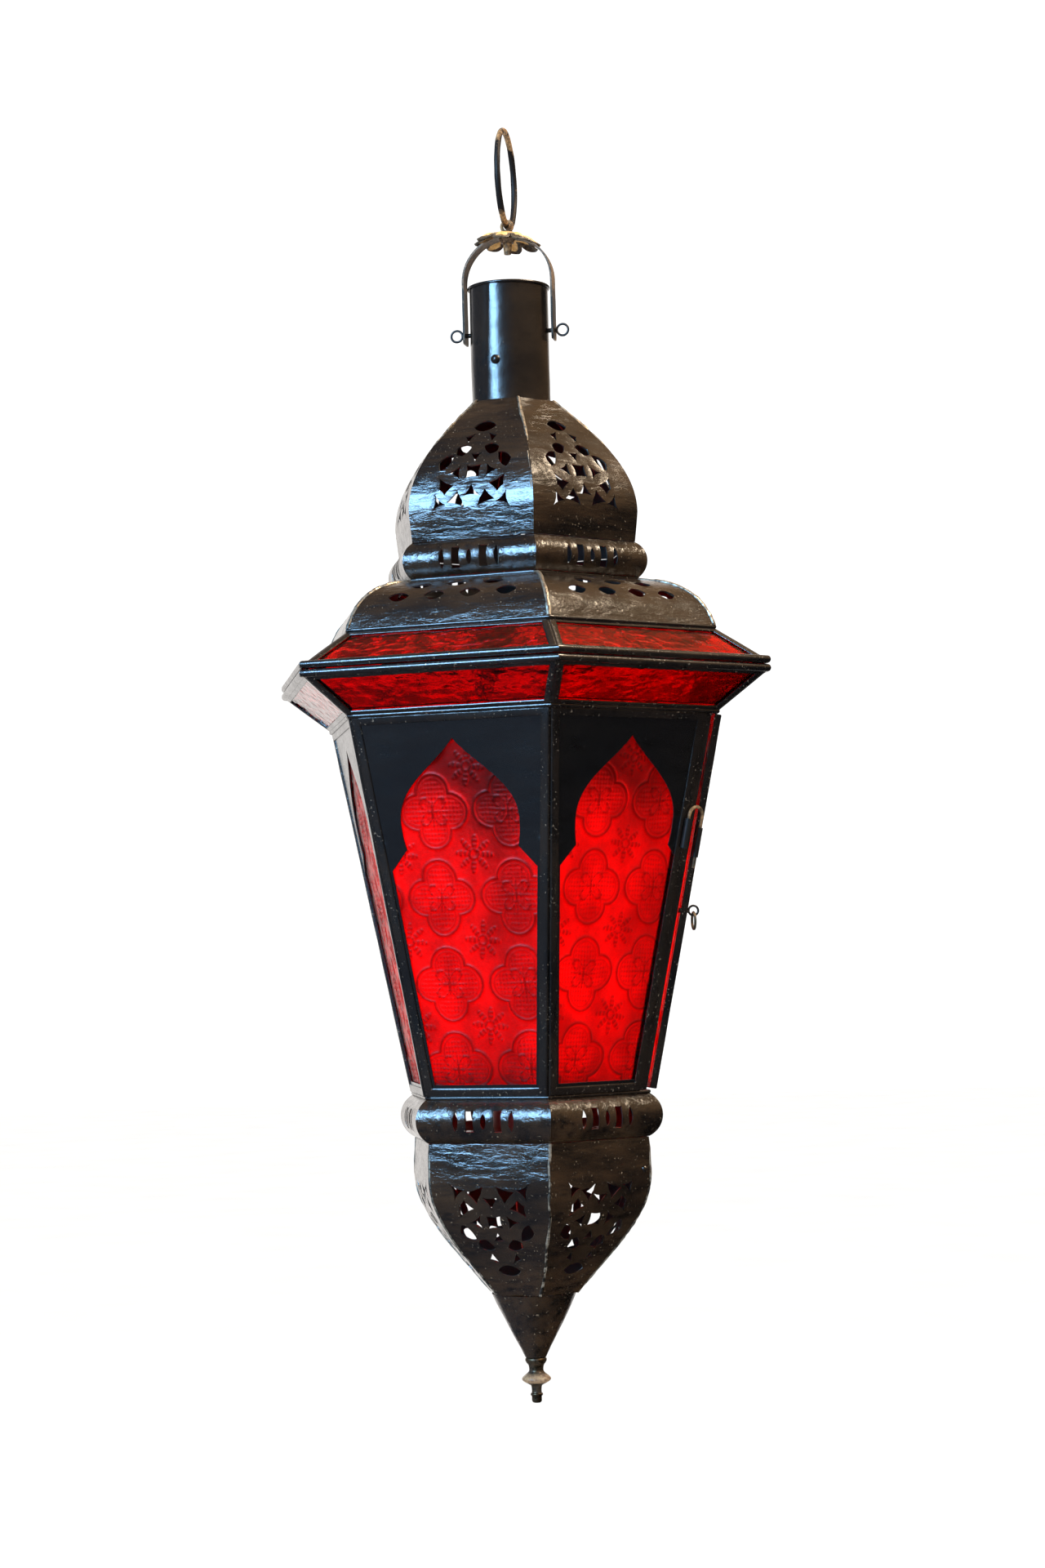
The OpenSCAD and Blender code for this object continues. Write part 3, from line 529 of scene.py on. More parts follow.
def brass_look():
    n = Look("worn_brass")
    clouds = n.noise(150, 5, 0.6)
    dirt = n.noise(500, 4, 0.6, shift=(3, 1, 0))
    base = n.ramp(clouds, [(0.3, rgb(0.02, 0.016, 0.014)), (0.5, rgb(0.08, 0.055, 0.035)),
                           (0.72, rgb(0.25, 0.18, 0.1))])
    base = n.mix(n.mask(dirt, 0.5, 0.68), base, rgb(0.015, 0.013, 0.012))
    disc = n.math("SUBTRACT", n.level(CONE_BOTTOM - 14.4, CONE_BOTTOM - 13),
                  n.level(CONE_BOTTOM - 10, CONE_BOTTOM - 8))
    tan = n.ramp(dirt, [(0.35, rgb(0.36, 0.24, 0.13)), (0.65, rgb(0.17, 0.1, 0.06))])
    n.to(n.mix(disc, base, tan), "Base Color")
    n.to(n.span(clouds, 0.5, 0.3), "Roughness")
    n.to(n.math("MULTIPLY", n.mask(clouds, 0.35, 0.6), n.math("SUBTRACT", 1.0, disc)), "Metallic")
    n.bumps((dirt, 0.12, 0.4))
    return n.material


def glass_look(name, clear, thick, pressed, roughness, bump_scale, bump_mm, gloss, shade_below_rim=None):
    """Red glass, painted darker on its raised pattern: painted shade where the relief turns the light away. The
    last argument darkens the panes below the rim: painted shade, as they face down.
    """
    n = Look(name)
    grain = n.math("ADD", n.noise(45, 4, 0.55), n.math("MULTIPLY", n.noise(800, 3, 0.6, (1, 1, 2)), 0.4))
    clouds = n.ramp(grain, [(0.55, thick), (0.82, clear)])
    # pressed is the colour of painted shade on the raised pattern, read from the per-point share that pane() gives
    base = n.mix(n.mask(n.worked(), 0.05, 0.9), clouds, pressed)
    if shade_below_rim:
        # Painted shade: below the rim the panes, which face down, are mixed towards a dark red
        base = n.mix(n.level(-306, -301), n.mix(shade_below_rim, base, rgb(0.06, 0, 0)), base)
    n.to(base, "Base Color")
    n.to(n.span(n.noise(200, 3, 0.5, shift=(1, 2, 3)), *roughness), "Roughness")
    n.put(Transmission_Weight=1.0, IOR=1.3, Specular_IOR_Level=gloss)
    n.bumps((n.noise(bump_scale, 3, 0.55, (1, 1, 1.6), (2, 2, 2)), bump_mm, 0.6))
    return n.material


# The third red of each glass is painted shade on its raised pattern
pressed_glass = glass_look("red_pressed_glass", rgb(1, 0, 0), rgb(0.5, 0, 0), rgb(0.15, 0, 0), (0.3, 0.45),
                           900, 0.12, 0.04)
# Its last number darkens the lower band's panes: painted shade
hammered_glass = glass_look("red_hammered_glass", rgb(1, 0, 0), rgb(0.4, 0, 0), rgb(0.5, 0, 0), (0.05, 0.12),
                            300, 0.26, 0.5, 0.6)


def wax_look():
    n = Look("wax")
    clouds = n.noise(60, 4)
    n.to(n.ramp(clouds, [(0.3, rgb(0.8, 0.74, 0.6)), (0.7, rgb(0.9, 0.86, 0.76))]), "Base Color")
    n.to(n.span(clouds, 0.35, 0.55), "Roughness")
    n.put(Subsurface_Weight=0.4)
    n.shader.inputs["Subsurface Radius"].default_value = (0.006, 0.004, 0.0025)
    n.bumps((n.noise(200, 3), 0.2, 0.3))
    return n.material


def wick_look():
    n = Look("wick_cotton")
    strands = n.noise(900, 2, 0.5, (1, 1, 0.3))
    n.to(n.ramp(strands, [(0.35, rgb(0.012, 0.01, 0.009)), (0.7, rgb(0.06, 0.05, 0.04))]), "Base Color")
    n.to(n.span(strands, 0.8, 0.95), "Roughness")
    n.bumps((strands, 0.3, 0.7))
    return n.material


gilt = gilt_look()
brass = brass_look()
wax = wax_look()
wick = wick_look()


# ---- Pierced dome and bowl ----

def piercings():
    """The pattern on one petal: x across, y away from the big eye."""
    holes = [lens(11.8, 5.8), place(triangle(5.8, 4.4, 0.05), 0, 19),
             place(curved([(-3.7, -3.2), (3.7, -3.2), (3.5, 3.2), (-3.5, 3.2)], 0.07), 0, 27.2),
             place(triangle(8.6, -6.4, 0.09), 0, 37.6)]
    drop = curved([(-4.2, -0.4), (-1.4, -2.6), (3.2, -2), (3.8, 1), (0.6, 2.9)], -0.09)
    leaf = curved([(-4.6, -1.8), (-0.6, -3.2), (3.6, -2.2), (4.2, 2.6), (0, 2.2)], -0.07)
    for side in (-1, 1):
        holes += [place(curved([(-2.4, -2), (2.9, -1.2), (1.6, 2.6)], 0.04), 5.8, 6.8, 12, side),
                  place(drop, 8.2, 14.4, 14, side), place(leaf, 16.4, 21.2, 28, side),
                  place(curved([(-2.8, -3.7), (3.5, 0), (-2.8, 3.7)], 0.09), 10.4, 27.2, 0, side),
                  place(curved([(3.5, -4.2), (-4.5, 0.1), (0.2, 4.5), (3.2, 1.4)], 0.06), 15.2, 34.7, 0, side),
                  place(curved([(-0.4, -4.8), (5.1, 0.8), (-4.2, 3.6), (-2.9, 0)], 0.05), 8.2, 42.8, 0, side),
                  place(curved([(1, -4.8), (3, 4), (-4.8, 0.8)], 0.12), 19.6, 44, 0, side)]
    return [h.mean(0) + (h - h.mean(0)) * 1.12 for h in holes]


def petal_net(profile, eye_z, direction):
    zs, a = profile[:, 1], profile[:, 0]
    holes = [h * (1, direction) + (0, eye_z) for h in piercings()]
    return flat_sheet(mirrored(np.stack([a * HALF - EDGE_GAP, zs], 1)), holes, 1.9)


def on_profile(profile):
    zs, a = profile[:, 1], profile[:, 0]

    def surface(p):
        return np.stack([np.interp(p[:, 1], zs, a), p[:, 0], p[:, 1]], 1)
    return surface


def beaten(seed, deep=0.3, lip=0.16):
    """Hand-beaten sheet: broad dents, small ripples along the face, and a burr at every cut edge."""
    def relief(points, inner, outer):
        stretched = points * (1, 0.5, 1)
        out = deep * wobble(stretched, 17, seed) + 0.4 * deep * wobble(stretched, 6, seed + 1)
        out += 0.16 * deep * wobble(points, 2.6, seed + 2)
        return out * smooth_step(outer / 5) - 0.05 + lip * np.exp(-inner / 0.9)
    return relief


dome_profile = np.concatenate([
    bezier([(25, DOME_TOP), (44, DOME_TOP - 16.5), (72.5, DOME_TOP - 38.5), (72.3, DOME_TOP - 65.2)], 44),
    [(71.7, DOME_TOP - 71), (70.4, DOME_BOTTOM + 0.1)]])[::-1] * (APOTHEM, 1)
bowl_profile = np.concatenate([
    [(68.7, COLLAR2_BOTTOM - 0.1), (69.5, COLLAR2_BOTTOM - 9)],
    bezier([(69.9, COLLAR2_BOTTOM - 18), (70, COLLAR2_BOTTOM - 42), (47, COLLAR2_BOTTOM - 60),
            (26, BOWL_BOTTOM)], 44)])[::-1] * (APOTHEM, 1)
dome_net = petal_net(dome_profile, DOME_TOP - 17.6, -1)
bowl_net = petal_net(bowl_profile, BOWL_BOTTOM + 14.8, 1)
for k in range(1, 7):
    turn = 60 * (k - 1)
    piece(f"dome_sheet_{k}", shell(dome_net, on_profile(dome_profile), SHEET, beaten(10 * k)), sheet_tin,
          "lantern", [f"dome_petal_{k}"], turn)
    piece(f"bowl_sheet_{k}", shell(bowl_net, on_profile(bowl_profile), SHEET, beaten(100 + 10 * k)), sheet_tin,
          "lantern", [f"bowl_petal_{k}"], turn)


# ---- Collars and shoulder ----

def collar(name, node, centre_a, radius, centre_z, height, seed):
    half = radius * math.asin(height / 2 / radius)
    s = np.linspace(-half, half, 40)
    outline = mirrored(np.stack([(centre_a + radius * np.cos(s / radius)) * HALF - EDGE_GAP, s], 1))
    holes = []
    for i in range(-2, 3):
        hole = curved([(-2.4, -5.7), (2.4, -5.7), (2.4, 5.7), (-2.4, 5.7)], 0.02) if abs(i) == 1 \
            else lens(8.5 if i == 0 else 11, 3.2)[:, ::-1]
        hole = hole + (i * 8, 0)
        hole[:, 1] = radius * np.arcsin(hole[:, 1] / radius)
        holes.append(hole)
    net = flat_sheet(outline, holes, 1.7)

    def surface(p):
        t = p[:, 1] / radius
        return np.stack([centre_a + radius * np.cos(t), p[:, 0], centre_z + radius * np.sin(t)], 1)
    strips = []
    for k in range(6):
        points, faces, worked = shell(net, surface, SHEET, beaten(seed + 7 * k, 0.14, 0.22))
        strips.append((around(points, 60 * k), faces, worked))
    piece(name, merge(strips), sheet_tin, "lantern", [node])


collar("upper_collar_moulding", "upper_collar", 55.2, 11.7, DOME_BOTTOM - 10.4, 20.6, 300)
collar("lower_collar_moulding", "lower_collar", 53.5, 13.4, SIDE_BOTTOM - 12.4, 23.6, 400)

shoulder_profile = bezier([(72.5, COLLAR1_BOTTOM - 0.1), (92, COLLAR1_BOTTOM - 1.6), (108, COLLAR1_BOTTOM - 8),
                           (115, SHOULDER_BOTTOM)], 44) * (APOTHEM, 1)
shoulder_outline = mirrored(np.stack([shoulder_profile[:, 0] * HALF - EDGE_GAP, shoulder_profile[:, 0]], 1))
shoulder_holes = [lens(12, 5) + ((i - (row + 1) / 2) * 20.5, 75.5 + 7.5 * row)
                  for row in range(3) for i in range(row + 2)]
shoulder_net = flat_sheet(shoulder_outline, shoulder_holes, 2.1)


def shoulder_surface(p):
    return np.stack([p[:, 1], p[:, 0], np.interp(p[:, 1], shoulder_profile[:, 0], shoulder_profile[:, 1])], 1)


for k in range(1, 7):
    piece(f"shoulder_sheet_{k}", shell(shoulder_net, shoulder_surface, SHEET, beaten(500 + 10 * k, 0.34, 0.15), -1),
          sheet_tin, "lantern", ["shoulder_panels"] if k == 1 else (), 60 * (k - 1))


# ---- Solder ----

def seam(profile, k, seed, width=1.25, keep=None):
    """A lumpy bead of solder down the corner after face k. keep(0..1) says how proud it stands."""
    steps = 70
    share = np.linspace(0, 1, steps)
    z = np.interp(share, np.linspace(0, 1, len(profile)), profile[:, 1])
    r = np.interp(share, np.linspace(0, 1, len(profile)), profile[:, 0]) / APOTHEM
    path = np.stack([r, 0.5 * wobble(np.stack([z, z * 0, z * 0], 1), 9, seed), z], 1)
    lumps = 1 + 0.25 * wobble(path, 3.1, seed + 1) + 0.12 * wobble(path, 1.4, seed + 2)
    proud = lumps if keep is None else lumps * keep(share)
    radius = np.clip(width * proud, 0.25, 3)
    path[:, 0] -= 1.0 - 0.3 * proud
    points, faces = tube(path, radius, 9, flat=0.75)
    return around(points, 60 * (k - 1) + 30), faces


piece("dome_solder", merge([seam(dome_profile, k, 600 + k, 1.0, lambda s: 0.5 + 0.6 * smooth_step(s * 2 - 0.7))
                            for k in range(1, 7)]), solder, "lantern")
piece("bowl_solder", merge([seam(bowl_profile, k, 620 + k, 0.85) for k in range(1, 7)]), solder, "lantern")
piece("shoulder_solder", merge([seam(shoulder_profile[::-1], k, 640 + k, 1.2) for k in range(1, 7)]), solder,
      "lantern")


# ---- Leaning faces: bands of panes, glazed sides and the door ----

def slope(bottom_a, bottom_z, tilt):
    """Turns (along the face, up the slope, outwards) into the face's own (out, along, up)."""
    c, s = math.cos(tilt), math.sin(tilt)

    def to_face(p):
        p = np.asarray(p, float)
        return np.stack([bottom_a + p[:, 2] * c + p[:, 1] * s, p[:, 0], bottom_z - p[:, 2] * s + p[:, 1] * c], 1)
    return to_face


def trapezoid(bottom_a, top_a, length, left, right, bottom, top):
    grow = (top_a - bottom_a) * HALF / length
    lo = bottom_a * HALF + grow * bottom
    hi = top_a * HALF - grow * top
    return np.array([(-lo + left, bottom), (lo - right, bottom), (hi - right, length - top),
                     (-hi + left, length - top)])


def channel(outer, inner, depth, lip, groove, seed, step=5.0, rough=0.12):
    """A folded channel round a four-sided opening. groove is how far in the pane sits, as a share."""
    floor = 0.45 - depth
    section = [(0.0, -depth), (0.0, -0.9), (0.03, -0.35), (0.1, -0.08), (0.3, 0.0), (0.7, 0.0), (0.9, -0.08),
               (0.97, -0.3), (1.0, -lip), (groove, -lip), (groove, floor), (1.0, floor), (1.0, -depth)]
    outer, inner = np.asarray(outer, float), np.asarray(inner, float)
    ring = []
    for i in range(4):
        j = (i + 1) % 4
        n = max(2, int(np.linalg.norm(outer[j] - outer[i]) / step))
        for q in range(n):
            ring.append((i, j, q / n))
    points = []
    for i, j, t in ring:
        a = outer[i] + (outer[j] - outer[i]) * t
        b = inner[i] + (inner[j] - inner[i]) * t
        for share, z in section:
            x, y = a + (b - a) * share
            points.append((x, y, z))
    points = np.array(points)
    front = np.tile(np.array([z > -lip - 0.01 for _, z in section]), len(ring))
    sway = rough * (wobble(points, 14, seed) - 1) * front
    points[:, 2] += sway
    return points, quads(len(ring), len(section), True, True)


def pane(corners, front, back, relief, step):
    """Glass with a worked front face: relief(points) is how far below front each point lies, in mm."""
    corners = np.asarray(corners, float)
    nu = max(4, int(np.linalg.norm(corners[2] - corners[3]) / step))
    nv = max(4, int(abs(corners[2][1] - corners[1][1]) / step))
    s, t = np.meshgrid(np.linspace(0, 1, nu + 1), np.linspace(0, 1, nv + 1))
    s, t = s.ravel()[:, None], t.ravel()[:, None]
    low = corners[0] + (corners[1] - corners[0]) * s
    high = corners[3] + (corners[2] - corners[3]) * s
    flat = low + (high - low) * t
    sunk = relief(flat)
    points = np.concatenate([flat, (front - sunk)[:, None]], 1)
    faces = quads(nv + 1, nu + 1)
    border = list(range(nu + 1)) + [r * (nu + 1) + nu for r in range(1, nv + 1)]
    border += [nv * (nu + 1) + c for c in range(nu - 1, -1, -1)] + [r * (nu + 1) for r in range(nv - 1, 0, -1)]
    start = len(points)
    rear = points[border].copy()
    rear[:, 2] = back
    points = np.concatenate([points, rear])
    n = len(border)
    for i in range(n):
        j = (i + 1) % n
        faces.append((border[j], border[i], start + i, start + j))
    faces.append(tuple(range(start + n - 1, start - 1, -1)))
    # The raised share of the face, which the glass material paints a darker red as painted shade
    worked = np.concatenate([1 - (sunk - sunk.min()) / (sunk.max() - sunk.min()), np.zeros(n)])
    return points, faces, worked


def leaning(shape, to_face):
    return (to_face(shape[0]), *shape[1:])


BANDS = {
    "upper": (RIM_A - 2.2, RIM_TOP, 115 * APOTHEM - 0.6, RIM_TOP + 18.7),
    "lower": (SIDE_TOP_A, SIDE_TOP, RIM_A - 2.2, SIDE_TOP + 20.5),
}
for n_band, (which, (low_a, low_z, high_a, high_z)) in enumerate(BANDS.items()):
    length = math.hypot(high_a - low_a, high_z - low_z)
    to_face = slope(low_a, low_z, math.atan2(high_a - low_a, high_z - low_z))
    frames = []
    for k in range(1, 7):
        outer = trapezoid(low_a, high_a, length, 0.1, 0.1, 0.6, 0.6)
        inner = trapezoid(low_a, high_a, length, 4.6, 4.6, 3.6, 3.6)
        points, faces = leaning(channel(outer, inner, 3.4, 0.62, 0.55, 700 + 20 * n_band + k, 4), to_face)
        frames.append((around(points, 60 * (k - 1)), faces))

        def hammered(p, seed=800 + 20 * n_band + k):
            q = flat_3d(p) * (0.6, 1.2, 1)
            return 0.45 - 0.2 * wobble(q, 3.6, seed) - 0.08 * wobble(q, 1.7, seed + 1)
        glass = pane(trapezoid(low_a, high_a, length, 3.4, 3.4, 3.4, 3.4), -0.7, -2.5, hammered, 0.9)
        piece(f"{which}_band_pane_{k}", leaning(glass, to_face), hammered_glass, "lantern",
              [f"{which}_band_glass"] if k == 1 else (), 60 * (k - 1), crease=60)
    piece(f"{which}_band_channel", merge(frames), channel_tin, "lantern", [f"{which}_band_frame"])

def hexagon(a, z, step=3.0):
    path = []
    for k in range(6):
        t0, t1 = math.radians(60 * k - 30), math.radians(60 * k + 30)
        r = a / APOTHEM
        p0, p1 = np.array([r * math.cos(t0), r * math.sin(t0)]), np.array([r * math.cos(t1), r * math.sin(t1)])
        n = int(np.linalg.norm(p1 - p0) / step)
        path += [np.append(p0 + (p1 - p0) * i / n, z) for i in range(n)]
    return np.array(path)


# The two rolled edges of the rim
for which, z, seed in (("upper", RIM_TOP - 0.2, 860), ("lower", RIM_BOTTOM + 0.2, 870)):
    path = hexagon(RIM_A - 2.35, z)
    radius = 2.1 + 0.07 * wobble(path, 11, seed)
    piece(f"{which}_rim_roll", tube(path, radius, 14, closed=True), channel_tin, "lantern")

# Soldered beads that close the sheets' edges on the frames and collars
for which, a, z, radius, seed in (("shoulder", 98.9, SHOULDER_BOTTOM - 0.9, 1.1, 880),
                                  ("neck", 61.6, COLLAR1_BOTTOM + 0.5, 1.0, 882),
                                  ("eaves", SIDE_TOP_A - 0.3, SIDE_TOP + 0.2, 1.25, 886),
                                  ("foot", 60.4, SIDE_BOTTOM - 0.2, 0.9, 884)):
    path = hexagon(a, z)
    piece(f"{which}_bead", tube(path, radius * (1 + 0.14 * wobble(path, 6, seed)), 10, closed=True), channel_tin,
          "lantern")

# Glazed sides
to_side = slope(SIDE_BOTTOM_A, SIDE_BOTTOM, SIDE_TILT)


def side_outline(left, right, bottom, top):
    return trapezoid(SIDE_BOTTOM_A, SIDE_TOP_A, SIDE_LEN, left, right, bottom, top)


def pressed(shift_u, shift_v, seed):
    """Pressed pattern: four-lobed medallions in rows, sprigs of leaves between them, and fine stipple."""
    pitch_u, pitch_v = 42.0, 46.0

    def relief(p):
        q = flat_3d(p)
        bent = p + np.stack([wobble(q, 14, seed + 2), wobble(q, 14, seed + 3)], 1) * 0.7
        u = (bent[:, 0] + shift_u + pitch_u / 2) % pitch_u - pitch_u / 2
        v = (bent[:, 1] + shift_v + pitch_v / 2) % pitch_v - pitch_v / 2
        lobes = [np.hypot(u - x, v - y) - 9.6 for x, y in ((0, 10.2), (0, -10.2), (9.4, 0), (-9.4, 0))]
        edge = np.minimum.reduce(lobes)
        rise = 0.46 * np.exp(-(edge / 0.8) ** 2) + 0.24 * np.exp(-((edge + 2.3) / 0.6) ** 2)
        rows = (0.5 + 0.5 * np.cos(v * 2 * math.pi / 2.4)) * (0.6 + 0.4 * np.cos(u * 2 * math.pi / 1.9))
        rise += 0.3 * rows * (edge < -3.2) * (np.hypot(u, v) > 4)
        petals = np.abs(np.sin(2 * np.arctan2(v, u))) * 9 - np.hypot(u, v)
        rise += 0.3 * np.exp(-(petals / 0.9) ** 2)
        cross = np.minimum(np.abs(u), np.abs(v)) * 1.6 + 0.12 * np.hypot(u, v)
        rise += 0.34 * np.exp(-(cross / 1.1) ** 2) * (np.hypot(u, v) < 9)
        cu = (u + pitch_u) % pitch_u - pitch_u / 2
        cv = (v + pitch_v) % pitch_v - pitch_v / 2
        angle, reach = np.arctan2(cv, cu), np.hypot(cu, cv)
        leaf = np.abs(np.cos(4 * angle + 0.4)) * 9.2 + 1.6 - reach
        rise += 0.4 * smooth_step(leaf / 1.2) * smooth_step(reach / 2.5) * (0.65 + 0.35 * np.cos(reach * 2.6))
        rise += 0.05 * wobble(q, 1.3, seed) + 0.05 * wobble(q, 5, seed + 1)
        return 0.55 - np.clip(rise, -0.05, 0.5)
    return relief


def u_half(v):
    """Half the width of a side at v up its slope."""
    return (SIDE_BOTTOM_A + (SIDE_TOP_A - SIDE_BOTTOM_A) * v / SIDE_LEN) * HALF


def arch_opening():
    apex, cheek, neck, step = SIDE_LEN - 14.2, SIDE_LEN - 58.5, SIDE_LEN - 72.5, SIDE_LEN - 83.5
    arch = bezier([(0, apex), (12, apex - 15), (34.3, cheek + 20), (33.7, cheek)], 26)
    right = np.concatenate([arch, [(33.2, cheek - 7), (31.8, neck), (u_half(step) - 7.4, step),
                                   (u_half(6.6) - 7.4, 6.6)]])
    return np.concatenate([right, (right * (-1, 1))[::-1][:-1]])


def sunk_by(depth, to_face):
    """The surface that lies depth below a face."""
    return lambda p: to_face(np.concatenate([p, np.full((len(p), 1), -depth)], 1))


def arch_plate(outline, to_face, depth, seed, lip=0.0):
    net = flat_sheet(outline, [arch_opening()], 3.2)

    def relief(points, inner, outer):
        return 0.1 * (wobble(points, 19, seed) - 1) * smooth_step(outer / 6) + lip * np.exp(-inner / 1.2)
    return shell(net, sunk_by(depth, to_face), SHEET - 0.1, relief, mitre=False)


# The door is side 1. Its neighbours stand back from it, to leave room for the hinge and the latch
for k in range(2, 7):
    node, turn = k - 1, 60 * (k - 1)
    left = 6.0 if k == 2 else 1.0
    right = 8.0 if k == 6 else 1.0
    frame_shape = channel(side_outline(left, right, 0.4, 0.4), side_outline(left + 5, right + 5, 5, 5),
                          4.5, 0.8, 0.72, 900 + k, 6, 0.14)
    piece(f"side_channel_{node}", leaning(frame_shape, to_side), channel_tin, "lantern",
          [f"side_frame_{node}"], turn)
    sheet = side_outline(max(4.4, left + 1.2) + 0.3, max(4.4, right + 1.2) + 0.3, 1.7, 1.7)
    glass = pane(sheet, -1.8, -3.75, pressed(3.0 * k, 5.0 - 4.0 * k, 950 + k), 0.64)
    piece(f"side_pane_{node}", leaning(glass, to_side), pressed_glass, "lantern",
          [f"side_glass_{node}"], turn, crease=60)
    piece(f"side_arch_plate_{node}", arch_plate(sheet, to_side, 0.95, 970 + k, 0.07), arch_tin_painted_shade, "lantern",
          [f"side_arch_{node}"], turn)

# The strip of tin that stands between the last fixed side and the door's free edge
POST_INNER, POST_OUTER = 8.4, 3.4
low_v, high_v = 0.6, SIDE_LEN - 0.6
strip = [(u_half(low_v) - POST_INNER, low_v), (u_half(low_v) - POST_OUTER, low_v),
         (u_half(high_v) - POST_OUTER, high_v), (u_half(high_v) - POST_INNER, high_v)]
latch_post = shell(flat_sheet(strip, [], 2.4), sunk_by(0.9, to_side), 2.4,
                   lambda points, inner, outer: 0.12 * (wobble(points, 12, 996) - 1), mitre=False)
piece("latch_post_strip", latch_post, channel_tin, "lantern", azimuth=300)

# Door
DOOR_PROUD = 2.5
to_door = slope(SIDE_BOTTOM_A + DOOR_PROUD * math.cos(SIDE_TILT), SIDE_BOTTOM - DOOR_PROUD * math.sin(SIDE_TILT),
                SIDE_TILT)
frame_shape = channel(side_outline(0.5, 2, 1.4, 1.4), side_outline(5.5, 7, 6.4, 6.4), 4.0, 0.6, 0.28, 990, 6, 0.1)
piece("door_channel", leaning(frame_shape, to_door), channel_tin, "door", ["door_frame"])
sheet = side_outline(2.2, 3.7, 3.1, 3.1)
glass = pane(sheet, -1.5, -3.4, pressed(6.0, 9.0, 991), 0.64)
piece("door_pane", leaning(glass, to_door), pressed_glass, "door", ["door_glass"], crease=60)
piece("door_arch_plate", arch_plate(sheet, to_door, 0.7, 995), arch_tin_painted_shade, "door", ["door_arch"])


# ---- Chimney ----

TUBE_R, TUBE_TOP, TUBE_BOTTOM = 22.2, -85.6, -151.3


def tube_push(points):
    """Dents, and the step of the lapped seam that runs down at a slant."""
    angle = np.degrees(np.arctan2(points[:, 1], points[:, 0]))
    z = points[:, 2]
    lap = (angle + 128 - (z - TUBE_TOP) * 0.12 + 180) % 360 - 180
    step = 0.45 * smooth_step((lap + 2.5) / 2.5) * (1 - smooth_step(lap / 30))
    return -0.3 + step + 0.22 * wobble(points, 21, 41) + 0.07 * wobble(points, 7, 42)


levels = np.linspace(TUBE_TOP - 0.3, TUBE_BOTTOM, 42)
profile = [(TUBE_R - 0.1, z) for z in levels] + [(TUBE_R - SHEET, z) for z in levels[::-1]]
rim = [(TUBE_R - 0.1 + 0.85 * math.cos(t), TUBE_TOP - 0.9 + 0.85 * math.sin(t))
       for t in np.linspace(0, 2 * math.pi, 12, endpoint=False)]
piece("chimney_sleeve", merge([lathe(profile, 180, True, tube_push),
                               lathe(rim, 96, True, lambda p: 0.1 * wobble(p, 9, 43))]),
      tube_tin, "lantern", ["chimney_tube"])


# ---- Hanger ----

def ring_path(centre, radius, azimuth, steps=120, seed=1, sway=0.15):
    t = np.linspace(0, 2 * math.pi, steps, endpoint=False)
    a = math.radians(azimuth)
    r = radius + sway * wobble(np.stack([np.cos(t) * 9, np.sin(t) * 9, t * 0], 1), 6, seed)
    return np.stack([centre[0] + r * np.cos(t) * math.cos(a), centre[1] + r * np.cos(t) * math.sin(a),
                     centre[2] + r * np.sin(t)], 1)


RING_Z, RING_R, RING_BAR, RING_AZIMUTH = -24.8, 26.6, 1.68, 72
path = ring_path((0, 0, RING_Z), RING_R, RING_AZIMUTH)
piece("ring_bar", tube(path, RING_BAR + 0.1 * wobble(path, 5, 51), 14, closed=True), ring_iron, "ring",
      ["hanging_ring"])

ROSETTE_Z, ROSETTE_LEAN = -55.45, math.tan(math.radians(5.5))
angles = np.linspace(0, 2 * math.pi, 240, endpoint=False)
reach = 11.2 + 7.9 * np.abs(np.cos(4 * (angles - math.pi / 8))) ** 0.55
outline = np.stack([reach * np.cos(angles), reach * np.sin(angles)], 1)
hole = 1.65 * np.stack([np.cos(angles[::8]), np.sin(angles[::8])], 1)
rosette_net = flat_sheet(outline, [hole], 1.0)


def rosette_surface(p):
    r = np.hypot(p[:, 0], p[:, 1])
    angle = np.arctan2(p[:, 1], p[:, 0])
    drop = np.interp(r, [0, 5.5, 12, 19.25], [0, 0, 2.2, 7.2])
    crown = 0.9 * np.cos(8 * (angle - math.pi / 8)) * smooth_step((r - 6) / 8)
    return np.stack([p[:, 0], p[:, 1], ROSETTE_Z + 0.25 - drop + crown - p[:, 0] * ROSETTE_LEAN], 1)


rosette = shell(rosette_net, rosette_surface, 0.9,
                lambda p, inner, outer: -0.1 + 0.3 * wobble(p, 5, 61) + 0.1 * wobble(p, 2, 62), mitre=False)
middle = smooth_step((rosette_net[4] - 0.9) / 1.6) * smooth_step((np.hypot(*rosette_net[0].T) - 6) / 2)
piece("rosette_petals", (*rosette[:2], np.concatenate([middle, middle])), gilt, "bail", ["rosette"])

# Bail strap: its middle line in the X-Z plane
STRAP_TOP, STRAP_R, PIVOT, BAIL_AZIMUTH = -56.65, 25.8, -111.2, -20
half_turn = np.linspace(0, math.pi, 60)
line = [(-(STRAP_R - 0.6), z) for z in np.linspace(PIVOT - 5.2, STRAP_TOP - STRAP_R - 1, 22)]
line += [(-(STRAP_R - 0.6) * math.cos(t), STRAP_TOP - STRAP_R + (STRAP_R - 0.6) * math.sin(t)) for t in half_turn]
line += [(-x, z) for x, z in line[:22][::-1]]
line = np.array(line)
length = np.concatenate([[0], np.cumsum(np.linalg.norm(np.diff(line, axis=0), axis=1))])
total = length[-1]
strap_outline = [(0, -4.4), (1.5, -4.9), (total - 1.5, -4.9), (total, -4.4), (total, 4.4), (total - 1.5, 4.9),
                 (1.5, 4.9), (0, 4.4)]
circle = np.stack([np.cos(angles[::12]), np.sin(angles[::12])], 1)
strap_holes = [circle * 1.6 + (total / 2, 0), circle * 1.45 + (5.2, 0), circle * 1.45 + (total - 5.2, 0)]
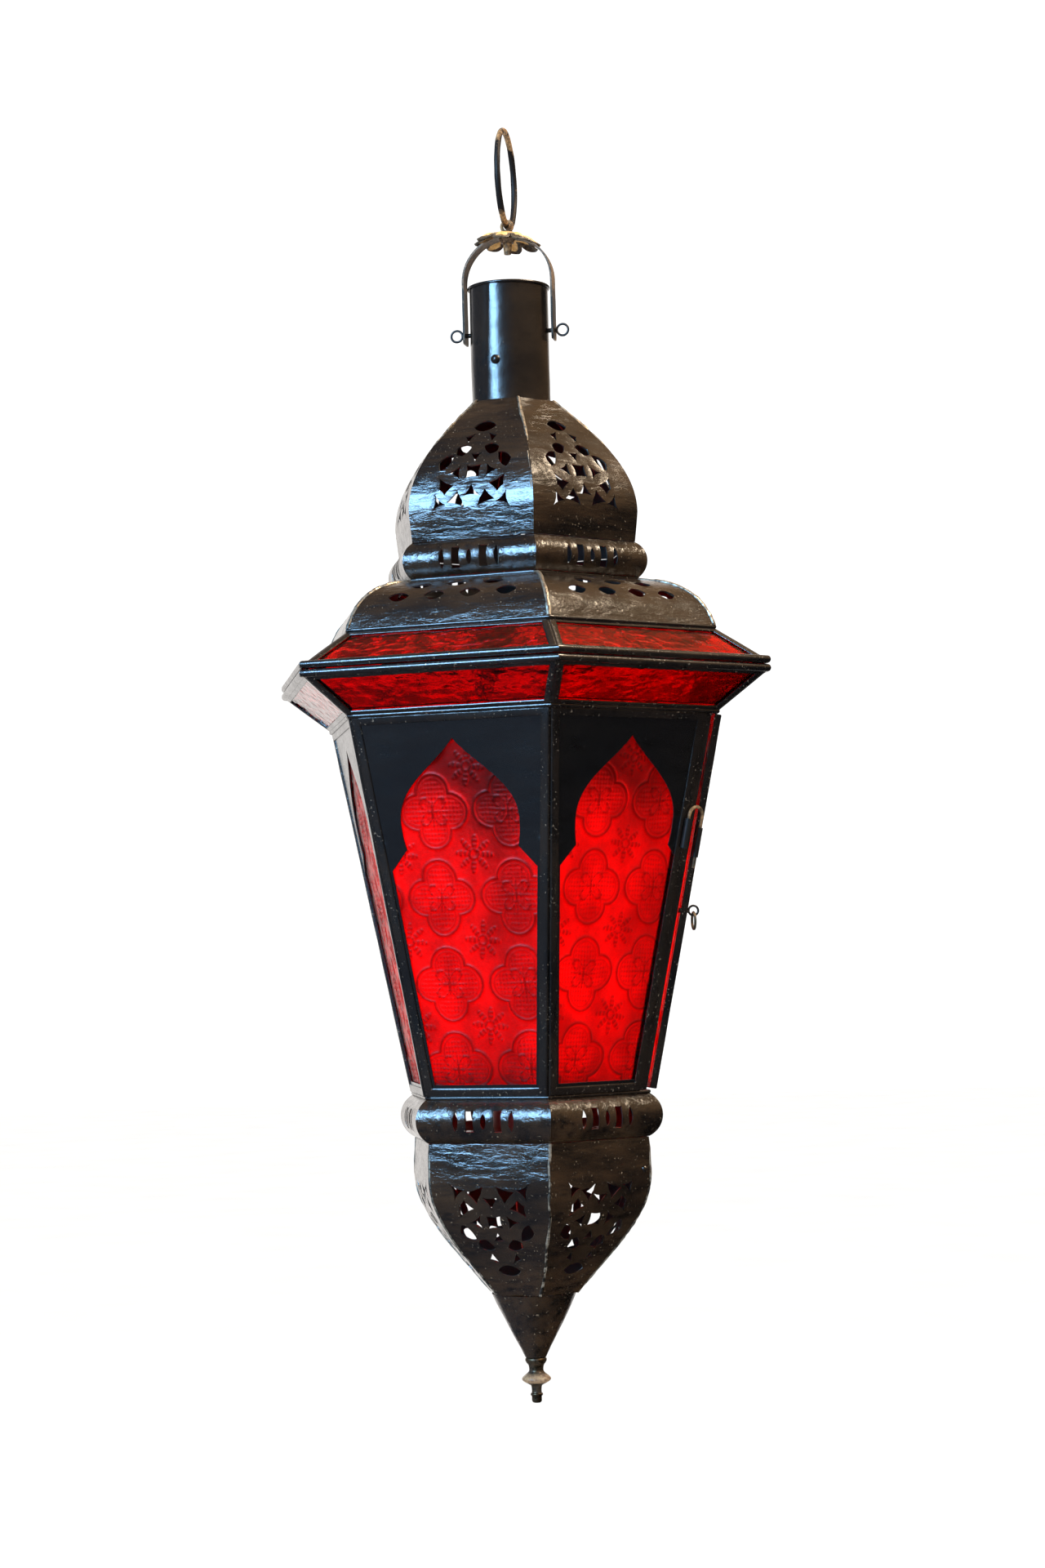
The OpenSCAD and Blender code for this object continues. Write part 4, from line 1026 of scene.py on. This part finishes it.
strap_net = flat_sheet(strap_outline, strap_holes, 1.6)


def strap_surface(p):
    s = np.clip(p[:, 0], 0, total)
    return np.stack([np.interp(s, length, line[:, 0]), p[:, 1], np.interp(s, length, line[:, 1])], 1)


def strap_relief(points, inner, outer):
    return 0.5 + 0.08 * (wobble(points, 8, 71) - 1) - 0.12 * np.exp(-outer / 0.8)


piece("bail_band", shell(strap_net, strap_surface, 1.0, strap_relief, mitre=False), strap_iron, "bail",
      ["bail_strap"], BAIL_AZIMUTH)

LOOP_R, LOOP_WIRE, SHANK_R, STOP_R = 3.2, 0.65, 1.25, 2.4
for side, name in ((-1, "left"), (1, "right")):
    loop = ring_path((side * (STRAP_R + 0.3 + LOOP_R + LOOP_WIRE), 0, PIVOT), LOOP_R, 0, 40, 80 + side, 0.1)
    shank = [(side * x, 0, PIVOT) for x in np.linspace(20.4, 26.9, 8)]
    stop = [(side * x, 0, PIVOT) for x in (19.9, 20.8)]
    piece(f"bail_loop_{name}", merge([tube(loop, LOOP_WIRE, 10, closed=True), tube(shank, SHANK_R, 10),
                                      tube(stop, STOP_R, 12)]),
          dark_wire, "lantern", [f"bail_eye_{name}"], BAIL_AZIMUTH)


# ---- Foot ----

cone_side = bezier([(23.3, BOWL_BOTTOM - 0.3), (18, BOWL_BOTTOM - 13), (11, BOWL_BOTTOM - 24),
                    (5.9, CONE_BOTTOM)], 30)
cone_profile = np.concatenate([cone_side, [(0, CONE_BOTTOM), (0, CONE_BOTTOM + 2.6)],
                               (cone_side - (SHEET, 0))[::-1][3:]])
piece("foot_cone", lathe(cone_profile, 120, False,
                         lambda p: -0.12 + 0.2 * wobble(p, 13, 91) + 0.06 * wobble(p, 4, 92)),
      sheet_tin, "lantern", ["bottom_cone"])

knots = [(0.0, 0.0), (5.6, 0), (6.1, -1.4), (5.4, -2.8), (4.2, -4.2), (3.9, -7), (4.6, -8.2), (7.4, -10.4),
         (8.2, -11.6), (7.4, -12.8), (4.4, -14.4), (2.9, -15.2), (2.7, -19), (3.5, -19.5), (3.5, -20.4),
         (2.8, -20.9), (2.9, -23.5), (2.1, -24.5), (0.0, -24.6)]


def rounded(points, rounds=2):
    """Corner cutting, which keeps the two ends."""
    p = np.asarray(points, float)
    for _ in range(rounds):
        q = 0.8 * p[:-1] + 0.2 * p[1:]
        r = 0.2 * p[:-1] + 0.8 * p[1:]
        p = np.concatenate([p[:1], np.stack([q, r], 1).reshape(-1, 2)[1:-1], p[-1:]])
    return p


piece("turned_finial", lathe(rounded(knots) + (0, CONE_BOTTOM - 0.1), 64, False,
                             lambda p: -0.08 + 0.1 * wobble(p, 4, 95)),
      brass, "lantern", ["finial"])


# ---- Candle ----

CANDLE_BOTTOM = SIDE_BOTTOM - 20.8 + 1.2
candle_profile = [(0, 0.1), (18.4, 0.1), (18.9, 0.8), (18.9, 12.6), (18.3, 13.7), (17, 13.9), (15.5, 13.2),
                  (13, 12.4), (6, 12), (0, 11.9)]
candle_profile = [(r, CANDLE_BOTTOM + z) for r, z in candle_profile]
piece("candle_body", lathe(candle_profile, 64, False, lambda p: -0.1 + 0.1 * wobble(p, 7, 97)), wax, "candle",
      ["candle"])
curl = [(0.35 * math.sin(z * 0.5) * min(1, z / 6), 0.3 * (1 - math.cos(z * 0.4)) * min(1, z / 6),
         CANDLE_BOTTOM + 6 + z) for z in np.linspace(0, 13.5, 18)]
piece("burnt_wick", tube(curl, 0.55, 8), wick, "candle", ["wick"])


# ---- CAD pieces that keep their shape ----

KEPT = {"swivel_eye": ring_iron, "rosette_washer": strap_iron, "sheet_rivets": tube_tin,
        "hinge_knuckles": door_iron, "hinge_pins": dark_wire, "door_knuckles": door_iron, "latch_tube": door_iron,
        "latch_guide": door_iron, "latch_pin": rusty_wire, "pull_eye": dark_wire, "pull_ring": rusty_wire,
        "candle_bridge": channel_tin, "candle_cup": plain_tin}
for node, material in KEPT.items():
    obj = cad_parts[node]
    obj.data.materials.clear()
    obj.data.materials.append(material)


# ---- Studio ----

scene = bpy.context.scene
scene.view_settings.view_transform = "Standard"
scene.view_settings.look = "None"

CENTRE = Vector((0, 0, -0.35))
OPEN_SKY, THROUGH_GLASS = 1.15, 2.7
camera_data = bpy.data.cameras.new("camera")
camera_data.lens = 70.54
camera_data.sensor_width = 36
camera_data.sensor_fit = "AUTO"
camera_data.clip_end = 100
camera = bpy.data.objects.new("camera", camera_data)
scene.collection.objects.link(camera)
# Its right, its up, the way back from what it looks at, and its place in metres
camera.matrix_world = Matrix(((0.98965, -0.14115, -0.02569, 0), (0.01747, -0.05920, 0.99809, 0),
                              (-0.14240, -0.98822, -0.05613, 0), (-0.23991, -1.66982, -0.45651, 1))).transposed()
scene.camera = camera


def area_light(name, azimuth, elevation, distance, width, height, radiance, colour):
    """A soft light facing the lantern, from a compass direction (0 is +X) and a height in degrees."""
    data = bpy.data.lights.new(name, "AREA")
    data.shape = "RECTANGLE"
    data.size, data.size_y = width, height
    data.energy = radiance * width * height * math.pi
    data.color = colour
    light = bpy.data.objects.new(name, data)
    scene.collection.objects.link(light)
    a, e = math.radians(azimuth), math.radians(elevation)
    away = Vector((math.cos(a) * math.cos(e), math.sin(a) * math.cos(e), math.sin(e)))
    light.location = CENTRE + away * distance
    light.rotation_mode = "QUATERNION"
    light.rotation_quaternion = away.to_track_quat("Z", "Y")
    return light


area_light("window", 220, 22.5, 2.6, 0.95, 1.0, 30, (0.32, 0.63, 1.0))
area_light("lamp", 338, 54, 2.4, 0.6, 0.9, 32, (1.0, 0.8, 0.58))
area_light("skylight", 71, 49, 2.4, 0.55, 0.3, 13, (1.0, 0.84, 0.66))

# A white room, brighter through the glass. Gloss sees a darker one: floor, warm walls, and a bright far side
world = bpy.data.worlds.new("studio")
scene.world = world
world.use_nodes = True
room = Graph(world.node_tree)
paths = room.add("LightPath").outputs
through = paths["Is Transmission Ray"]
axes = room.add("SeparateXYZ", {0: room.add("TexCoord").outputs["Generated"]}).outputs
walls = room.mix(room.step(axes["Z"], -0.05, 0.5), rgb(0.01, 0.007, 0.006), rgb(0.46, 0.27, 0.13))
walls = room.mix(room.step(axes["X"], -0.6, 0.2), rgb(0.08, 0.09, 0.12), walls)
walls = room.mix(room.step(axes["Y"], 0.72, 0.97), walls, rgb(1.25, 1.2, 1.16))
strength = room.math("MULTIPLY_ADD", through, THROUGH_GLASS - OPEN_SKY, OPEN_SKY)
either = room.math("MAXIMUM", room.math("SUBTRACT", 1.0, paths["Is Glossy Ray"]), through)
blend = room.add("MixShader", {0: either, 1: room.add("Background", {"Color": walls}).outputs[0],
                               2: room.add("Background", {"Color": rgb(1, 1, 1), "Strength": strength}).outputs[0]})
room.add("OutputWorld", {0: blend.outputs[0]})

# Pale floor, far enough below for the lantern to hang
FLOOR_Z, FLOOR_R = -1.9, 30.0
floor_mesh = bpy.data.meshes.new("floor")
floor_mesh.from_pydata([(FLOOR_R * math.cos(t), FLOOR_R * math.sin(t), FLOOR_Z)
                        for t in np.linspace(0, 2 * math.pi, 64, endpoint=False)], [], [tuple(range(64))])
floor = bpy.data.objects.new("floor", floor_mesh)
scene.collection.objects.link(floor)
floor_look = Look("pale_floor")
floor_look.to(floor_look.ramp(floor_look.noise(3, 3), [(0.3, rgb(0.9, 0.9, 0.89)), (0.7, rgb(0.94, 0.94, 0.93))]),
              "Base Color")
floor_look.put(Roughness=0.9)
floor_mesh.materials.append(floor_look.material)
floor.visible_glossy = False
